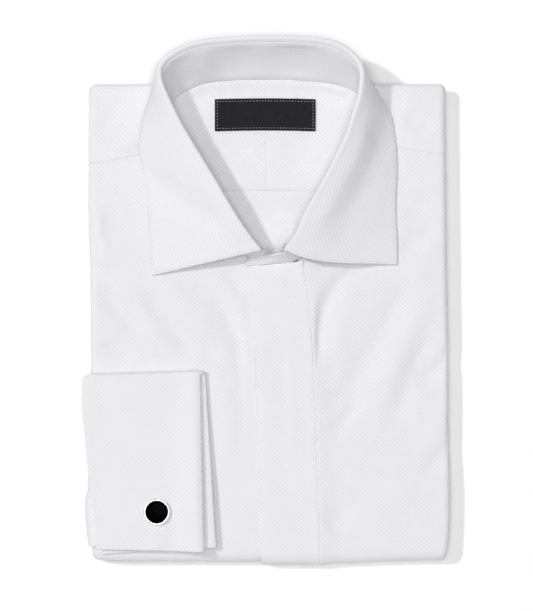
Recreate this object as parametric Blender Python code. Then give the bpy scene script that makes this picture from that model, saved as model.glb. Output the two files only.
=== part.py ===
"""A long sleeve dress shirt, buttoned up and folded flat, with a fly front and a French cuff.

Sizes are in millimetres, and make_object turns them into metres. Seen from above, x runs to the
right across the pack from its centre line, y runs towards the collar, and z is the height above
the table. The pack is two slabs: the shirt's upper half, and its tail folded up underneath.
"""
import math

import bmesh
import bpy
import numpy as np

METRES_PER_MM = 0.001
UP = np.array([0.0, 0.0, 1.0])
PACK_SHIFT_X = 2.1        # puts the middle of the whole shirt, cuff included, over the origin

# Cloth
WALL = 1.2                # one layer of cloth, with its pile of small folds
SEAM_GAP = 0.3            # between pieces that are sewn or lie on each other
PLY = WALL + SEAM_GAP     # how far a piece lies above the one that it rests on

# The folded pack
PACK_TOP = 18.0           # height of the fronts
SIDE_R = 4.35             # roundness of the side folds and the top fold
SIDE_LAP = 8.0            # cloth that goes back in under a side fold
FOLD_R = 9.0              # roundness of the big fold at the bottom
TOP_EDGE_Y = 152.5        # top edge of the pack
NECK_RISE = 12.5          # how much higher the top edge is behind the neck
NECK_RISE_HALF = 80.0
TAIL_Y = 146.0            # where the tail turns in underneath
TAIL_R = 3.5
CORNER_SHARE = 0.015      # share of the underside over which a side fold runs out at a corner
TAIL_CORNER_TURN = math.radians(76)
YOKE_CORNER_TURN = math.radians(86)
SIDE_REACH = 118.0        # further out, the lines along the pack run as they do here

# Half width of the pack:  y, viewer's left, viewer's right
SIDES = [
    (-182, 123.4, 124.8),
    (-165, 123.8, 126.8),
    (-150, 124.1, 127.6),
    (-125, 124.1, 127.4),
    (-90, 124.1, 126.4),
    (-30, 124.5, 126.2),
    (15, 124.8, 125.2),
    (60, 126.2, 124.8),
    (120, 126.2, 124.1),
    (152, 125.5, 124.1),
]

# Bottom edge of the pack:  x, y
BOTTOM_EDGE = [
    (-122, -180.8),
    (-110, -182.4),
    (30, -182.8),
    (57, -183.6),
    (85, -182.2),
    (122, -181.5),
]

# Large soft folds of the fronts:  from x, y, to x, y, half width, height
CREASES = [
    (-48, 18, -18, -20, 8, 1.0),
    (-18, -20, -22, -95, 7, 0.8),
    (-83, 14, -40, -32, 10, 0.9),
    (-118, -4, -92, -36, 8, 0.7),
    (54, 8, 40, -62, 8, 1.0),
    (97, -17, 55, -64, 9, 0.9),
    (122, -54, 92, -97, 9, 0.8),
    (57, -107, 43, -167, 8, 0.7),
]
FADE = 10.0               # they fade out over this width
CREASE_TOP_Y = 22.0       # below the collar
CREASE_LOW_Y = -172.0     # above the bottom fold
CREASE_CUFF = (-25.0, -38.0)      # right of and above the cuff, from this x and y
CREASE_PLACKET = (-25.0, 47.0)    # on both sides of the placket, from these x

# Shoulder seam:  x, y
SHOULDER = [
    (-125, 96.3),
    (-69, 107.8),
    (72, 111.5),
    (125, 102.8),
]
SHOULDER_TOP_Y = 116.0    # the fronts' neck edges end below this level
SHOULDER_LOW_Y = 98.0     # the yokes' neck edges start above this one
NECK_STEP = 0.4           # a yoke's lower edge goes from the neck to the shoulder seam over this width

# Fly placket:  y, left edge x, right edge x
PLACKET = [
    (-172, -4.8, 35.6),
    (-103, -7.0, 33.2),
    (-33, -9.4, 30.4),
    (2, -10.8, 27.6),
    (26, -15.7, 24.1),
]
PLACKET_STRAIGHT_Y = -172.0
PLACKET_SIDES_X = (-8.0, 30.0)    # lines along which its two edges are read
PLACKET_TOP = [(-16, 24.5), (-0.4, 25.7), (16.4, 27.2), (25, 28.6)]
FOLD_DROOP = 1.1          # how far the placket bulges past the fronts at the bottom fold
PLACKET_DIP = 6.5         # the right front dips this far out from under the placket where both rest
UNDER_LAP_X = 14.0        # the right front ends here, under the placket
RAMP = 15.0               # the left front comes down from the placket over this width
RAMP_TOP_Y = (30.0, 24.0) # and rises to the placket between these levels
EDGE_ROUNDS = 12          # rounds that settle a front's inner edge
NECK_FRONT_Y = 33.0       # the fronts meet below this level

# Collar, from the viewer's left front round the back to the right front.
# seam x, y on the pack; fold line x, y, z; free edge x, y, z of the leaf; then angles in degrees:
# the way out from the neck, the slope of the leaf where it leaves the fold, and at its edge;
# and how far the leaf sags towards the front on its way down
COLLAR = [
    (-11.5, 29.6, -5.2, 35.6, 35.0, -81.1, 18.8, 19.4, 193, 15, 9, 0),
    (-35.3, 44.7, -20.1, 55.6, 40.0, -82.8, 40.5, 19.4, 194, 21, 13, 0),
    (-53.5, 69.2, -36.7, 83.5, 42.5, -84.0, 63.6, 19.4, 202, 27, 18, 0),
    (-64.7, 95.8, -52.9, 110.4, 43.5, -89.0, 91.5, 19.4, 208, 33, 26, 0),
    (-68.2, 109.0, -60.8, 124.2, 43.8, -90.2, 112.5, 19.4, 203, 37, 36, 0),
    (-69.3, 120.2, -67.2, 137.3, 44.0, -85.9, 132.1, 19.5, 195, 44, 56, 0),
    (-68.5, 134.0, -72.9, 150.5, 44.2, -81.7, 146.4, 19.6, 180, 54, 80, 0),
    (-66.5, 140.5, -74.3, 157.5, 44.3, -79.2, 153.6, 17.8, 165, 66, 88, 0),
    (-63.0, 145.0, -73.1, 163.6, 44.5, -76.4, 160.2, 11.5, 150, 76, 92, 0),
    (-55.5, 149.6, -65.8, 170.8, 44.7, -69.6, 165.4, 8.0, 132, 80, 94, 0),
    (-44.4, 153.8, -50.0, 177.6, 45.0, -53.0, 169.2, 6.5, 113, 82, 98, 0),
    (-25.5, 155.8, -28.0, 180.4, 45.0, -30.0, 171.5, 6.0, 98, 83, 100, 0),
    (-0.4, 156.6, -0.4, 181.5, 45.0, 0.0, 172.3, 6.0, 90, 85, 100, 0),
    (24.1, 155.6, 25.2, 180.8, 45.0, 27.0, 171.6, 6.0, 83, 83, 100, 0),
    (43.7, 153.5, 42.2, 178.4, 45.0, 47.5, 169.2, 6.5, 68, 82, 98, 0),
    (56.0, 150.0, 53.4, 173.0, 44.7, 61.0, 164.0, 8.0, 52, 80, 92, 0),
    (63.0, 145.8, 61.0, 165.2, 44.5, 68.4, 158.8, 11.5, 34, 78, 84, 0),
    (66.5, 141.5, 63.3, 158.2, 44.3, 72.2, 153.6, 17.8, 16, 66, 74, 0),
    (69.0, 136.0, 63.1, 151.1, 44.2, 76.4, 146.2, 19.6, 0, 54, 66, 0),
    (71.2, 126.0, 61.6, 141.5, 44.0, 85.5, 130.9, 19.5, -14, 42, 45, 0),
    (71.4, 113.0, 57.2, 127.0, 43.8, 88.9, 114.6, 19.4, -22, 37, 35, 0),
    (69.5, 101.0, 52.3, 112.2, 43.5, 89.6, 92.2, 19.4, -27, 31, 28, 0),
    (56.0, 70.0, 39.0, 85.6, 42.5, 88.5, 67.8, 19.4, -19, 26, 19, 0),
    (40.0, 47.5, 24.8, 60.4, 40.0, 89.5, 45.4, 19.4, -13, 20, 14, 0),
    (29.0, 35.6, 19.7, 48.4, 38.0, 89.8, 34.9, 19.4, -10, 17, 11, 2),
    (16.4, 28.2, 10.7, 35.3, 35.0, 89.8, 26.2, 19.4, -6, 14, 9, 4.4),
]
COLLAR_WALL = 1.4
BAND_FOOT_Z = 18.9        # middle of the band's lower edge
ROLL_R = 1.4              # the leaf turns over the fold line on this radius
ROLL_RISE = 2.5           # the leaf's straight rise before it turns over
SAG_SHARE = 27 / 4        # makes the sag's greatest depth the number in the table
BAND_GAP = 0.4            # between the band's top edge and the leaf sewn to it

# Band ends beyond the leaf:  foot x, y; top x, y, z. The left end is lapped, the right one laps it
UNDER_TAB = [
    (8.7, 33.5, 11.5, 40.9, 31.0),
    (-1.7, 31.0, 2.4, 37.5, 32.5),
]
OVER_TAB = [
    (8.7, 27.4, 4.5, 33.1, 32.6),
    (-0.4, 26.7, -3.8, 31.6, 32.2),
    (-8.7, 26.0, -9.7, 30.8, 31.0),
    (-13.3, 25.7, -13.9, 29.5, 27.5),
    (-15.5, 25.5, -15.6, 27.5, 22.5),
]

# Neck, seen through the collar
INNER_DEPTH = PLY         # the inner yoke and the back lie this far below the fronts
NECK_MARGIN = 3.0         # they go on this far past the neck seam
NECK_LOOK = 4.0           # which is looked for this far above and below
NECK_LEAST_HALF = 20.0
INNER_TOP_Y = 157.5       # hidden upper edge of the inner yoke
YOKE_SEAM_Y = 78.4        # lower seam of the inner yoke
BACK_END_Y = 24.0
YOKE_SPLIT_X = -1.0       # centre seam of the inner yoke
RECESS_HALF = 76.0
RECESS_END_Y = 16.0

# Neck label
LABEL_X = (-37.3, 32.7)
LABEL_Y = (119.7, 141.6)
LABEL_WALL = 1.0
LABEL_BOW = 0.6           # the middle of its edges lies this much higher

# French cuff, lying across the lower left of the pack with its hand end to the right
CUFF_PLY = 1.0
CUFF_PLY_GAP = 0.4
CUFF_TOP_Y = -49.0        # its upper fold
CUFF_BOTTOM_Y = -173.0
CUFF_BACK_DROP = 1.2      # the hidden half ends this much lower
CUFF_GAP_SLEEVE = 2.6     # between its halves where the sleeve goes in
CUFF_GAP_HAND = 1.4
CUFF_NARROWS = 44.0       # the gap narrows over this width from the sleeve's end
CUFF_CURL = 4.2           # its right edge curls up, this far at the lower corner
CUFF_OPENS = 2.4          # and its halves stand this much further apart there
CUFF_CURL_TOP = 0.4       # share of both at the upper corner
CUFF_CURL_X = -70.0       # from this x, over this width
CUFF_CURL_RUN = 24.0
CUFF_BACK_TURN = 0.06     # the lower edge of the hidden half rises this steeply to the right
CUFF_MID_X = -88.0
# Left and right end of the cuff's front half, then of its back half:  y, four x
CUFF_ENDS = [
    (-174, -119.8, -45.2, -116.0, -36.8),
    (-152, -121.0, -45.6, -116.0, -38.2),
    (-127, -124.6, -46.2, -116.0, -39.6),
    (-97, -127.2, -46.8, -116.0, -41.4),
    (-68, -129.8, -47.4, -116.0, -43.2),
    (-49, -129.4, -47.9, -116.0, -44.2),
]

# Sleeve end that goes round the left side of the pack into the cuff
SLEEVE_WALL = 2.0
SLEEVE_Y = (-170.0, -58.0)
SLEEVE_IN_X = -104.0
SLEEVE_TURN = math.radians(150)
SLEEVE_SETTLE = math.radians(100)   # it lies close to the side of the pack from this angle

# Cufflink
LINK_X = -78.1
LINK_Y = -146.4
LINK_LIFT = 2.4           # the toggle holds the cuff this far off the pack
LINK_LIFT_R = 20.0
LINK_CLEAR = 0.5          # the bezel stands this far off the cuff, which curves under it
BEZEL_R = 9.3
BEZEL_H = 1.9
BEZEL_BEVEL = 0.6
BEZEL_LIP = 0.2
ONYX_R = 7.95
ONYX_GAP = 0.3
ONYX_DEPTH = 1.0
ONYX_DOME = 0.6
POST_R = 1.2
HOLE_R = 1.8
HOLE_DEPTH = 20.0
TOGGLE_SIZE = (17.0, 6.0, 1.8)
TOGGLE_BEVEL = 0.5

# Hidden layers
LAYER_MARGIN = PLY        # they lie inside the outer cloth by its wall and a gap
LAYER_SIDE_X = (-119.0, 119.7)
LAYER_ROUND = [(2.4, 1.35), (1.5, 0.5), (0, 0)]   # past those sides: how far out, how far inset
NOSE_SLACK = 0.7          # they fill the top fold less tightly
NOSE_FLAT = 1.5           # the flat top ends this far from the top fold's axis
NOSE_TURNS = (25, 90, 155)          # degrees round the top fold
CORNER_ROOM = 7.0         # they leave this room where the side folds end in corners
TAIL_GAP = 0.4            # between them and the turn of the tail
SLOT_Z = (7.2, 10.8)      # the slot that takes the laps of the side folds
SLOT_END = 1.6            # how far past the bottom fold's axis it reaches
SLOT_ROUND = 1.2          # depth of its rounded end
SLOT_SIDE = SIDE_LAP + 0.5          # how far in from the sides
SLOT_STEP = 0.3           # width over which it ends there
LAYER_NOTCH = 4.0         # the gap between the slabs goes this far in from the top fold's axis
LAYER_LIP = 2.2           # the middle layers show this far out past that axis
LAYER_WAVE = 0.8          # the edge of those layers waves by this much
LAYER_WAVE_LENGTH = 23.0
# Edges of the middle layers:  how far out; how far down the slot's height, and the same in the slot
LAYER_EDGES = [
    (0.0, 0.50, 0.10),
    (1.0, 0.58, 0.44),
    (0.84, 0.74, 0.49),
    (1.0, 0.86, 0.55),
    (0.0, 0.97, 1.0),
]
NECK_X = (66, 60, 50, 36, 18)       # places across the neck where the yoke and the layers bend
RECESS_STEP = 2.0         # length over which the layers go down to the neck
DIP_X = (-11.0, 14.5)     # they make room here for the right front's dip under the placket
DIP_STEP = (1.0, 0.5)

CLOTH_WHITE = (0.86, 0.86, 0.88, 1)
LABEL_BLACK = (0.02, 0.02, 0.026, 1)
ONYX_BLACK = (0.004, 0.004, 0.005, 1)
STEEL = (0.66, 0.66, 0.67, 1)


# ---------------------------------------------------------------- helpers
def read(table, at, column=1):
    """A table's column, read at a place along its first column."""
    rows = np.array(table, float)
    return np.interp(at, rows[:, 0], rows[:, column])


def ease(t):
    """A soft step from 0 to 1."""
    t = np.clip(t, 0, 1)
    return t * t * (3 - 2 * t)


def unit(vectors):
    return vectors / np.linalg.norm(vectors, axis=-1, keepdims=True)


def smooth_rows(rows, count):
    """A smooth curve through rows of numbers, read at evenly spaced places."""
    rows = np.array(rows, float)
    slopes = np.gradient(rows, axis=0)
    at = np.linspace(0, len(rows) - 1, count)
    low = np.minimum(at.astype(int), len(rows) - 2)
    t = (at - low)[:, None]
    return ((2 * t**3 - 3 * t**2 + 1) * rows[low] + (t**3 - 2 * t**2 + t) * slopes[low]
            + (3 * t**2 - 2 * t**3) * rows[low + 1] + (t**3 - t**2) * slopes[low + 1])


def grid_normals(points):
    """Unit normals of a grid of points, from its rows and columns."""
    along = np.gradient(points, axis=0)
    across = np.gradient(points, axis=1)
    return unit(np.cross(across, along))


def make_material(name, color, roughness, metallic=0.0):
    material = bpy.data.materials.new(name)
    material.use_nodes = True
    shader = material.node_tree.nodes["Principled BSDF"]
    shader.inputs["Base Color"].default_value = color
    shader.inputs["Roughness"].default_value = roughness
    shader.inputs["Metallic"].default_value = metallic
    return material


def make_object(name, points, faces, material):
    """A closed solid from points in millimetres; its faces are turned outwards."""
    points = np.array(points, float).reshape(-1, 3)
    points = (points + (PACK_SHIFT_X, 0, 0)) * METRES_PER_MM
    mesh = bpy.data.meshes.new(name)
    mesh.from_pydata(points.tolist(), [], faces)
    work = bmesh.new()
    work.from_mesh(mesh)
    bmesh.ops.remove_doubles(work, verts=work.verts, dist=1e-6)
    bmesh.ops.recalc_face_normals(work, faces=work.faces)
    work.to_mesh(mesh)
    work.free()
    mesh.shade_smooth()
    mesh.set_sharp_from_angle(angle=math.radians(50))
    mesh.materials.append(material)
    item = bpy.data.objects.new(name, mesh)
    bpy.context.scene.collection.objects.link(item)
    return item


def make_wall(name, face, back, material):
    """A sheet of cloth between two grids of points."""
    rows, columns = face.shape[:2]
    shift = rows * columns

    def corner(row, column, side):
        return row * columns + column + side * shift

    faces = []
    for side in (0, 1):
        for row in range(rows - 1):
            for column in range(columns - 1):
                quad = (corner(row, column, side), corner(row, column + 1, side),
                        corner(row + 1, column + 1, side), corner(row + 1, column, side))
                faces.append(quad if side else quad[::-1])
    rim = [(0, column) for column in range(columns)]
    rim += [(row, columns - 1) for row in range(1, rows)]
    rim += [(rows - 1, column) for column in range(columns - 2, -1, -1)]
    rim += [(row, 0) for row in range(rows - 2, 0, -1)]
    for here, there in zip(rim, rim[1:] + rim[:1]):
        faces.append((corner(*here, 0), corner(*there, 0), corner(*there, 1), corner(*here, 1)))
    return make_object(name, np.concatenate([face.reshape(-1, 3), back.reshape(-1, 3)]), faces, material)


def make_loft(name, rings, material):
    """A solid through closed rings of points, with flat ends."""
    rings = np.array(rings, float)
    count, size = rings.shape[:2]
    faces = [tuple(range(size)), tuple(range((count - 1) * size, count * size))]
    for ring in range(count - 1):
        for point in range(size):
            after = (point + 1) % size
            faces.append((ring * size + point, ring * size + after,
                          (ring + 1) * size + after, (ring + 1) * size + point))
    return make_object(name, rings, faces, material)


def make_turned(name, profile, sides, z, material, flatten=1.0):
    """A solid turned about the cufflink's axis, from rows of radius and height above z."""
    rings = []
    for radius, height in profile:
        angles = np.arange(sides) * 2 * math.pi / sides
        rings.append([(LINK_X + radius * math.cos(a), LINK_Y + flatten * radius * math.sin(a), z + height)
                      for a in angles])
    return make_loft(name, rings, material)


# ---------------------------------------------------------------- the pack's surface
def half_width(side, y):
    return np.where(side < 0, read(SIDES, y, 1), read(SIDES, y, 2))


def fold_axis_y(x):
    return read(BOTTOM_EDGE, x) + FOLD_R


def top_axis_y(x):
    """Where the flat top goes over into the top fold, which rises behind the neck."""
    reach = np.clip(x / NECK_RISE_HALF, -1, 1)
    return TOP_EDGE_Y - SIDE_R + NECK_RISE * np.cos(reach * math.pi / 2) ** 2


def lift(x, y):
    """Height of the large soft folds above the flat top, where no other piece lies."""
    height = np.zeros(np.broadcast(x, y).shape)
    for x0, y0, x1, y1, width, rise in CREASES:
        length = math.hypot(x1 - x0, y1 - y0)
        way = ((x - x0) * (x1 - x0) + (y - y0) * (y1 - y0)) / length**2
        way = np.clip(way, 0, 1)
        away = np.hypot(x - x0 - way * (x1 - x0), y - y0 - way * (y1 - y0))
        height = np.maximum(height, rise * np.exp(-(away / width) ** 2))
    clear = ease((SIDE_REACH - abs(x)) / FADE) * ease((CREASE_TOP_Y - y) / FADE)
    clear = clear * ease((y - CREASE_LOW_Y) / FADE)
    cuff = ease((CREASE_CUFF[0] - x) / FADE) * ease((CREASE_CUFF[1] - y) / FADE)
    placket = ease((x - CREASE_PLACKET[0]) / FADE) * ease((CREASE_PLACKET[1] - x) / FADE)
    return height * clear * (1 - cuff) * (1 - placket)


def pack_path(x, v, from_y, to_y):
    """Lengthwise line of the pack's outer face: y, z and its normal's y and z.

    v is -1 to 0 round the top fold, 0 to 1 down the flat top, 1 to 2 round the bottom fold,
    2 to 3 back up the flat underside, and 3 to 4 round the turn of the tail.
    """
    x, v = np.broadcast_arrays(np.asarray(x, float), np.asarray(v, float))
    top_turn = -np.clip(v, -1, 0) * math.pi
    fold_turn = np.clip(v - 1, 0, 1) * math.pi
    tail_turn = np.clip(v - 3, 0, 1) * math.pi
    axis = fold_axis_y(x)
    flat_y = from_y + (to_y - from_y) * np.clip(v, 0, 1)
    under_y = axis + (TAIL_Y - axis) * np.clip(v - 2, 0, 1)
    y = np.select([v < 0, v <= 1, v <= 2, v <= 3],
                  [top_axis_y(x) + SIDE_R * np.sin(top_turn), flat_y,
                   axis - FOLD_R * np.sin(fold_turn), under_y], TAIL_Y + TAIL_R * np.sin(tail_turn))
    z = np.select([v < 0, v <= 1, v <= 2, v <= 3],
                  [PACK_TOP - SIDE_R * (1 - np.cos(top_turn)), PACK_TOP + 0 * v,
                   FOLD_R * (1 + np.cos(fold_turn)), 0 * v], TAIL_R * (1 - np.cos(tail_turn)))
    turn = np.select([v < 0, v <= 3], [top_turn, -fold_turn], -math.pi - tail_turn)
    return y, z, np.sin(turn), np.cos(turn)


def side_wrap(u, flat):
    """Cross-section of the pack: x and depth of a point u out from the centre line, and its normal."""
    past = np.clip((abs(u) - flat) / SIDE_R, 0, math.pi)
    lap = np.clip(abs(u) - flat - SIDE_R * math.pi, 0, None)
    x = np.sign(u) * (np.minimum(abs(u), flat) + SIDE_R * np.sin(past) - lap)
    return x, SIDE_R * (1 - np.cos(past)), np.sign(u) * np.sin(past), np.cos(past)


def pack_surface(u, v, from_y, to_y, offset=0.0):
    """Points and normals of cloth on the pack, u across it and v along it."""
    near = np.clip(u, -SIDE_REACH, SIDE_REACH)
    y, z, normal_y, normal_z = pack_path(near, v, from_y, to_y)
    flat = half_width(u, y) - SIDE_R
    x, depth, side_x, side_n = side_wrap(u, flat)
    normals = np.stack([side_x, side_n * normal_y, side_n * normal_z], axis=-1)
    points = np.stack([x, y - depth * normal_y, z - depth * normal_z], axis=-1)
    raised = offset + np.where(v <= 1, lift(x, y), 0) * np.clip(side_n, 0, 1)
    return points + raised[..., None] * normals, normals


def side_columns(v, side, from_y, to_y, turn, steps):
    """Places across the pack of the columns that go round one of its sides, lap first."""
    y = pack_path(side * SIDE_REACH, v, from_y, to_y)[0]
    flat = half_width(np.full_like(y, side), y) - SIDE_R
    turned_by = np.linspace(1, 0, steps)[None, :] * turn[:, None]
    lap = SIDE_LAP * (turn >= math.pi)
    columns = flat[:, None] + turned_by * SIDE_R
    return side * np.concatenate([columns[:, :1] + lap[:, None], columns], axis=1)


# ---------------------------------------------------------------- fronts, placket, yokes
def neck_seam(count=200):
    return smooth_rows([row[:2] for row in COLLAR], count)


def front_edge(side, v, from_y):
    """x of a front's inner edge, along the neck and then down the middle, for each row."""
    seam = neck_seam()
    seam = seam[(seam[:, 0] * side > 0) & (seam[:, 1] > NECK_FRONT_Y) & (seam[:, 1] < SHOULDER_TOP_Y)]
    seam = seam[np.argsort(seam[:, 1])]
    x = np.full(len(v), side * NECK_LEAST_HALF)
    for _ in range(EDGE_ROUNDS):
        y = pack_path(x, v, from_y(x), fold_axis_y(x))[0]
        below = placket_edges(y, v)[1] if side > 0 else np.full_like(y, UNDER_LAP_X)
        beside = np.interp(y, seam[:, 1], seam[:, 0])
        x = np.where((v < 1) & (y > NECK_FRONT_Y), beside, below)
    return x


def placket_edges(y, v):
    """x of the placket's two edges, which run on straight past the bottom fold."""
    y = np.where(v < 1, np.maximum(y, PLACKET_STRAIGHT_Y), PLACKET_STRAIGHT_Y)
    return read(PLACKET, y, 1), read(PLACKET, y, 2)


def placket_offset(v):
    """How far the placket stands above the fronts: a full layer on top, none where it rests."""
    turn = np.clip(v - 1, 0, 1)
    return PLY * (1 - turn) + FOLD_DROOP * np.sin(turn * math.pi)


def panel_rows(flat_rows, fold_rows, under_rows, tail_rows):
    """Places along the pack of a panel's rows, with one more where its side folds end."""
    return np.concatenate([
        np.linspace(0, 1, flat_rows + 1)[:-1], np.linspace(1, 2, fold_rows + 1)[:-1],
        np.linspace(2, 3, under_rows + 1)[:-1], [3 - CORNER_SHARE], np.linspace(3, 4, tail_rows + 1)])


def front_grid(side, flat_rows, fold_rows, under_rows, tail_rows, columns, wrap_steps):
    """Outer face and normals of one front."""
    v = panel_rows(flat_rows, fold_rows, under_rows, tail_rows)

    def from_y(x):
        return read(SHOULDER, x) - SEAM_GAP

    inner = front_edge(side, v, from_y)[:, None]
    turn = np.where(v < 3, math.pi, TAIL_CORNER_TURN)
    end_x = side * SIDE_REACH
    wrap = side_columns(v, side, from_y(end_x), fold_axis_y(end_x), turn, wrap_steps)
    if side > 0:
        near_edge = [inner + RAMP, inner + RAMP / 2, inner]
    else:
        line_x = PLACKET_SIDES_X[0]
        edge = placket_edges(pack_path(line_x, v, from_y(line_x), fold_axis_y(line_x))[0], v)[0]
        dip = np.minimum(edge[:, None] - PLACKET_DIP, inner - 2 * PLACKET_DIP)
        near_edge = [dip, dip + PLACKET_DIP - SEAM_GAP, inner]
    flat = wrap[:, -1:] + (near_edge[0] - wrap[:, -1:]) * np.linspace(0, 1, columns + 1)[None, 1:-1]
    u = np.concatenate([wrap, flat, *near_edge], axis=1)
    v = np.broadcast_to(v[:, None], u.shape)
    near = np.clip(u, -SIDE_REACH, SIDE_REACH)
    y = pack_path(near, v, from_y(near), fold_axis_y(near))[0]
    if side > 0:
        ramp = 1 - ease((u - inner) / RAMP)
        below_neck = ease((RAMP_TOP_Y[0] - y) / (RAMP_TOP_Y[0] - RAMP_TOP_Y[1]))
        offset = placket_offset(v) * ramp * np.where(v < 1, below_neck, 1)
    else:
        offset = -PLY * np.clip(v - 1, 0, 1) * ease((u - dip) / (PLACKET_DIP - SEAM_GAP))
    return pack_surface(u, v, from_y(near), fold_axis_y(near), offset)


def placket_grid(flat_rows, fold_rows, under_rows, tail_rows, columns):
    """Outer face and normals of the fly placket, moved out from the fronts."""
    v = panel_rows(flat_rows, fold_rows, under_rows, tail_rows)

    def from_y(x):
        return read(PLACKET_TOP, x)

    edges = [placket_edges(pack_path(x, v, from_y(x), fold_axis_y(x))[0], v) for x in PLACKET_SIDES_X]
    left, right = edges[0][0], edges[1][1] - SEAM_GAP
    u = left[:, None] + (right - left)[:, None] * np.linspace(0, 1, columns + 1)[None, :]
    v = np.broadcast_to(v[:, None], u.shape)
    return pack_surface(u, v, from_y(u), fold_axis_y(u), placket_offset(v))


def yoke_grid(side, flat_rows, fold_rows, columns, wrap_steps):
    """Outer face and normals of one side of the outer yoke, over the top fold."""
    v = np.concatenate([np.linspace(-1, 0, fold_rows + 1), [4 * CORNER_SHARE],
                        np.linspace(0, 1, flat_rows + 1)[1:]])
    seam = neck_seam(400)
    seam = seam[(seam[:, 0] * side > 0) & (seam[:, 1] > SHOULDER_LOW_Y)]
    seam = seam[np.argsort(abs(seam[:, 0]))]
    widest = abs(seam[:, 0]).max() + NECK_STEP

    def to_y(x):
        beside = np.interp(abs(x), abs(seam[:, 0]), np.maximum.accumulate(seam[::-1, 1])[::-1])
        return np.where(abs(x) > widest, read(SHOULDER, x), beside)

    turn = np.where(v <= 0, YOKE_CORNER_TURN, math.pi)
    end_x = side * SIDE_REACH
    wrap = side_columns(v, side, top_axis_y(end_x), to_y(end_x), turn, wrap_steps)
    outer = wrap[:, -1:]
    beside_neck = side * (widest + NECK_STEP / 2)
    wide = outer + (beside_neck - outer) * np.linspace(0, 1, columns + 1)[None, 1:]
    reach = np.array([widest - NECK_STEP / 2, *NECK_X, SEAM_GAP / 2])
    close = side * np.broadcast_to(reach[None, :], (len(v), len(reach)))
    u = np.concatenate([wrap, wide, close], axis=1)
    v = np.broadcast_to(v[:, None], u.shape)
    near = np.clip(u, -SIDE_REACH, SIDE_REACH)
    return pack_surface(u, v, top_axis_y(near), to_y(near))


def neck_half_width(side, y):
    """x of the hidden edge of the pieces seen through the neck, past the neck seam."""
    seam = neck_seam()
    seam = seam[seam[:, 0] * side > 0]
    wide = [abs(seam[abs(seam[:, 1] - level) < NECK_LOOK][:, 0]).max(initial=0) for level in y]
    return side * (np.maximum(wide, NECK_LEAST_HALF) + NECK_MARGIN)


def neck_piece_grid(low_y, high_y, left, right, rows, columns):
    """Face of a piece seen through the neck, between two functions of y."""
    y = np.linspace(low_y, high_y, rows)
    x = left(y)[:, None] + (right(y) - left(y))[:, None] * np.linspace(0, 1, columns)[None, :]
    y = np.minimum(y[:, None], top_axis_y(x) - 2 * SEAM_GAP)
    return np.stack([x, y, np.full(x.shape, PACK_TOP - INNER_DEPTH)], axis=-1)


# ---------------------------------------------------------------- collar
def collar_frame(row):
    """Seam, fold and edge points of a collar row, its rise, the way over the fold and both slopes."""
    seam = np.array([row[0], row[1], BAND_FOOT_Z])
    fold = np.array(row[2:5])
    edge = np.array(row[5:8])
    out = np.array([math.cos(math.radians(row[8])), math.sin(math.radians(row[8])), 0])
    rise = unit(fold - seam)
    over = unit(out - out.dot(rise) * rise)
    leave = math.cos(math.radians(row[9])) * out - math.sin(math.radians(row[9])) * UP
    settle = math.cos(math.radians(row[10])) * out - math.sin(math.radians(row[10])) * UP
    return seam, fold, edge, rise, over, leave, settle


def leaf_section(row, roll_steps, fall_steps):
    """Points across the leaf: up from the band, over the fold line and down to its edge."""
    seam, fold, edge, rise, over, leave, settle = collar_frame(row)
    middle = fold + ROLL_R * over
    turn = math.atan2(leave.dot(over), leave.dot(rise))
    points = [fold - ROLL_RISE * rise]
    for angle in np.linspace(0, turn, roll_steps):
        points.append(middle - ROLL_R * math.cos(angle) * over + ROLL_R * math.sin(angle) * rise)
    start = points[-1]
    reach = np.linalg.norm(edge - start) / 3
    first, second = start + reach * leave, edge - reach * settle
    for t in np.linspace(0, 1, fall_steps + 1)[1:]:
        sag = row[11] * SAG_SHARE * t * (1 - t)**2
        points.append((1 - t)**3 * start + 3 * t * (1 - t)**2 * first
                      + 3 * t**2 * (1 - t) * second + t**3 * edge - (0, sag, 0))
    return points


def leaf_grid(stations, roll_steps, fall_steps):
    rows = smooth_rows(COLLAR, stations)
    return np.array([leaf_section(row, roll_steps, fall_steps) for row in rows])


def band_section(row):
    """Foot and top of the band at a collar row."""
    seam, fold, _, rise = collar_frame(row)[:4]
    return np.concatenate([seam, fold - (ROLL_RISE + BAND_GAP) * rise])


def tab_section(row):
    return np.array([row[0], row[1], BAND_FOOT_Z, *row[2:]])


def band_grid(stations, tab_stations, steps):
    """Middle face of the band, its lapping ends included."""
    middle = [band_section(row) for row in smooth_rows(COLLAR, stations)]
    under = smooth_rows([tab_section(row) for row in UNDER_TAB] + middle[:1], tab_stations)
    over = smooth_rows(middle[-1:] + [tab_section(row) for row in OVER_TAB], tab_stations)
    rows = np.concatenate([under[:-1], middle, over[1:]])
    foot, top = rows[:, None, :3], rows[:, None, 3:]
    return foot + (top - foot) * np.linspace(0, 1, steps + 1)[None, :, None]


# ---------------------------------------------------------------- cuff, sleeve, cufflink
def cuff_base(x, y):
    """Middle height of the cuff's back half, which the link's toggle lifts off the pack."""
    away = ((x - LINK_X) ** 2 + (y - LINK_Y) ** 2) / LINK_LIFT_R**2
    curl = CUFF_CURL * cuff_corner(x, y)
    return PACK_TOP + SEAM_GAP + CUFF_PLY + CUFF_PLY_GAP / 2 + LINK_LIFT * np.exp(-away / 2) + curl


def cuff_corner(x, y):
    """1 at the cuff's lower right corner, whose plies curl up and open most, and 0 at its left ones."""
    down = ease((CUFF_TOP_Y - y) / (CUFF_TOP_Y - CUFF_BOTTOM_Y))
    return ease((x - CUFF_CURL_X) / CUFF_CURL_RUN) * (CUFF_CURL_TOP + (1 - CUFF_CURL_TOP) * down)


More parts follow.
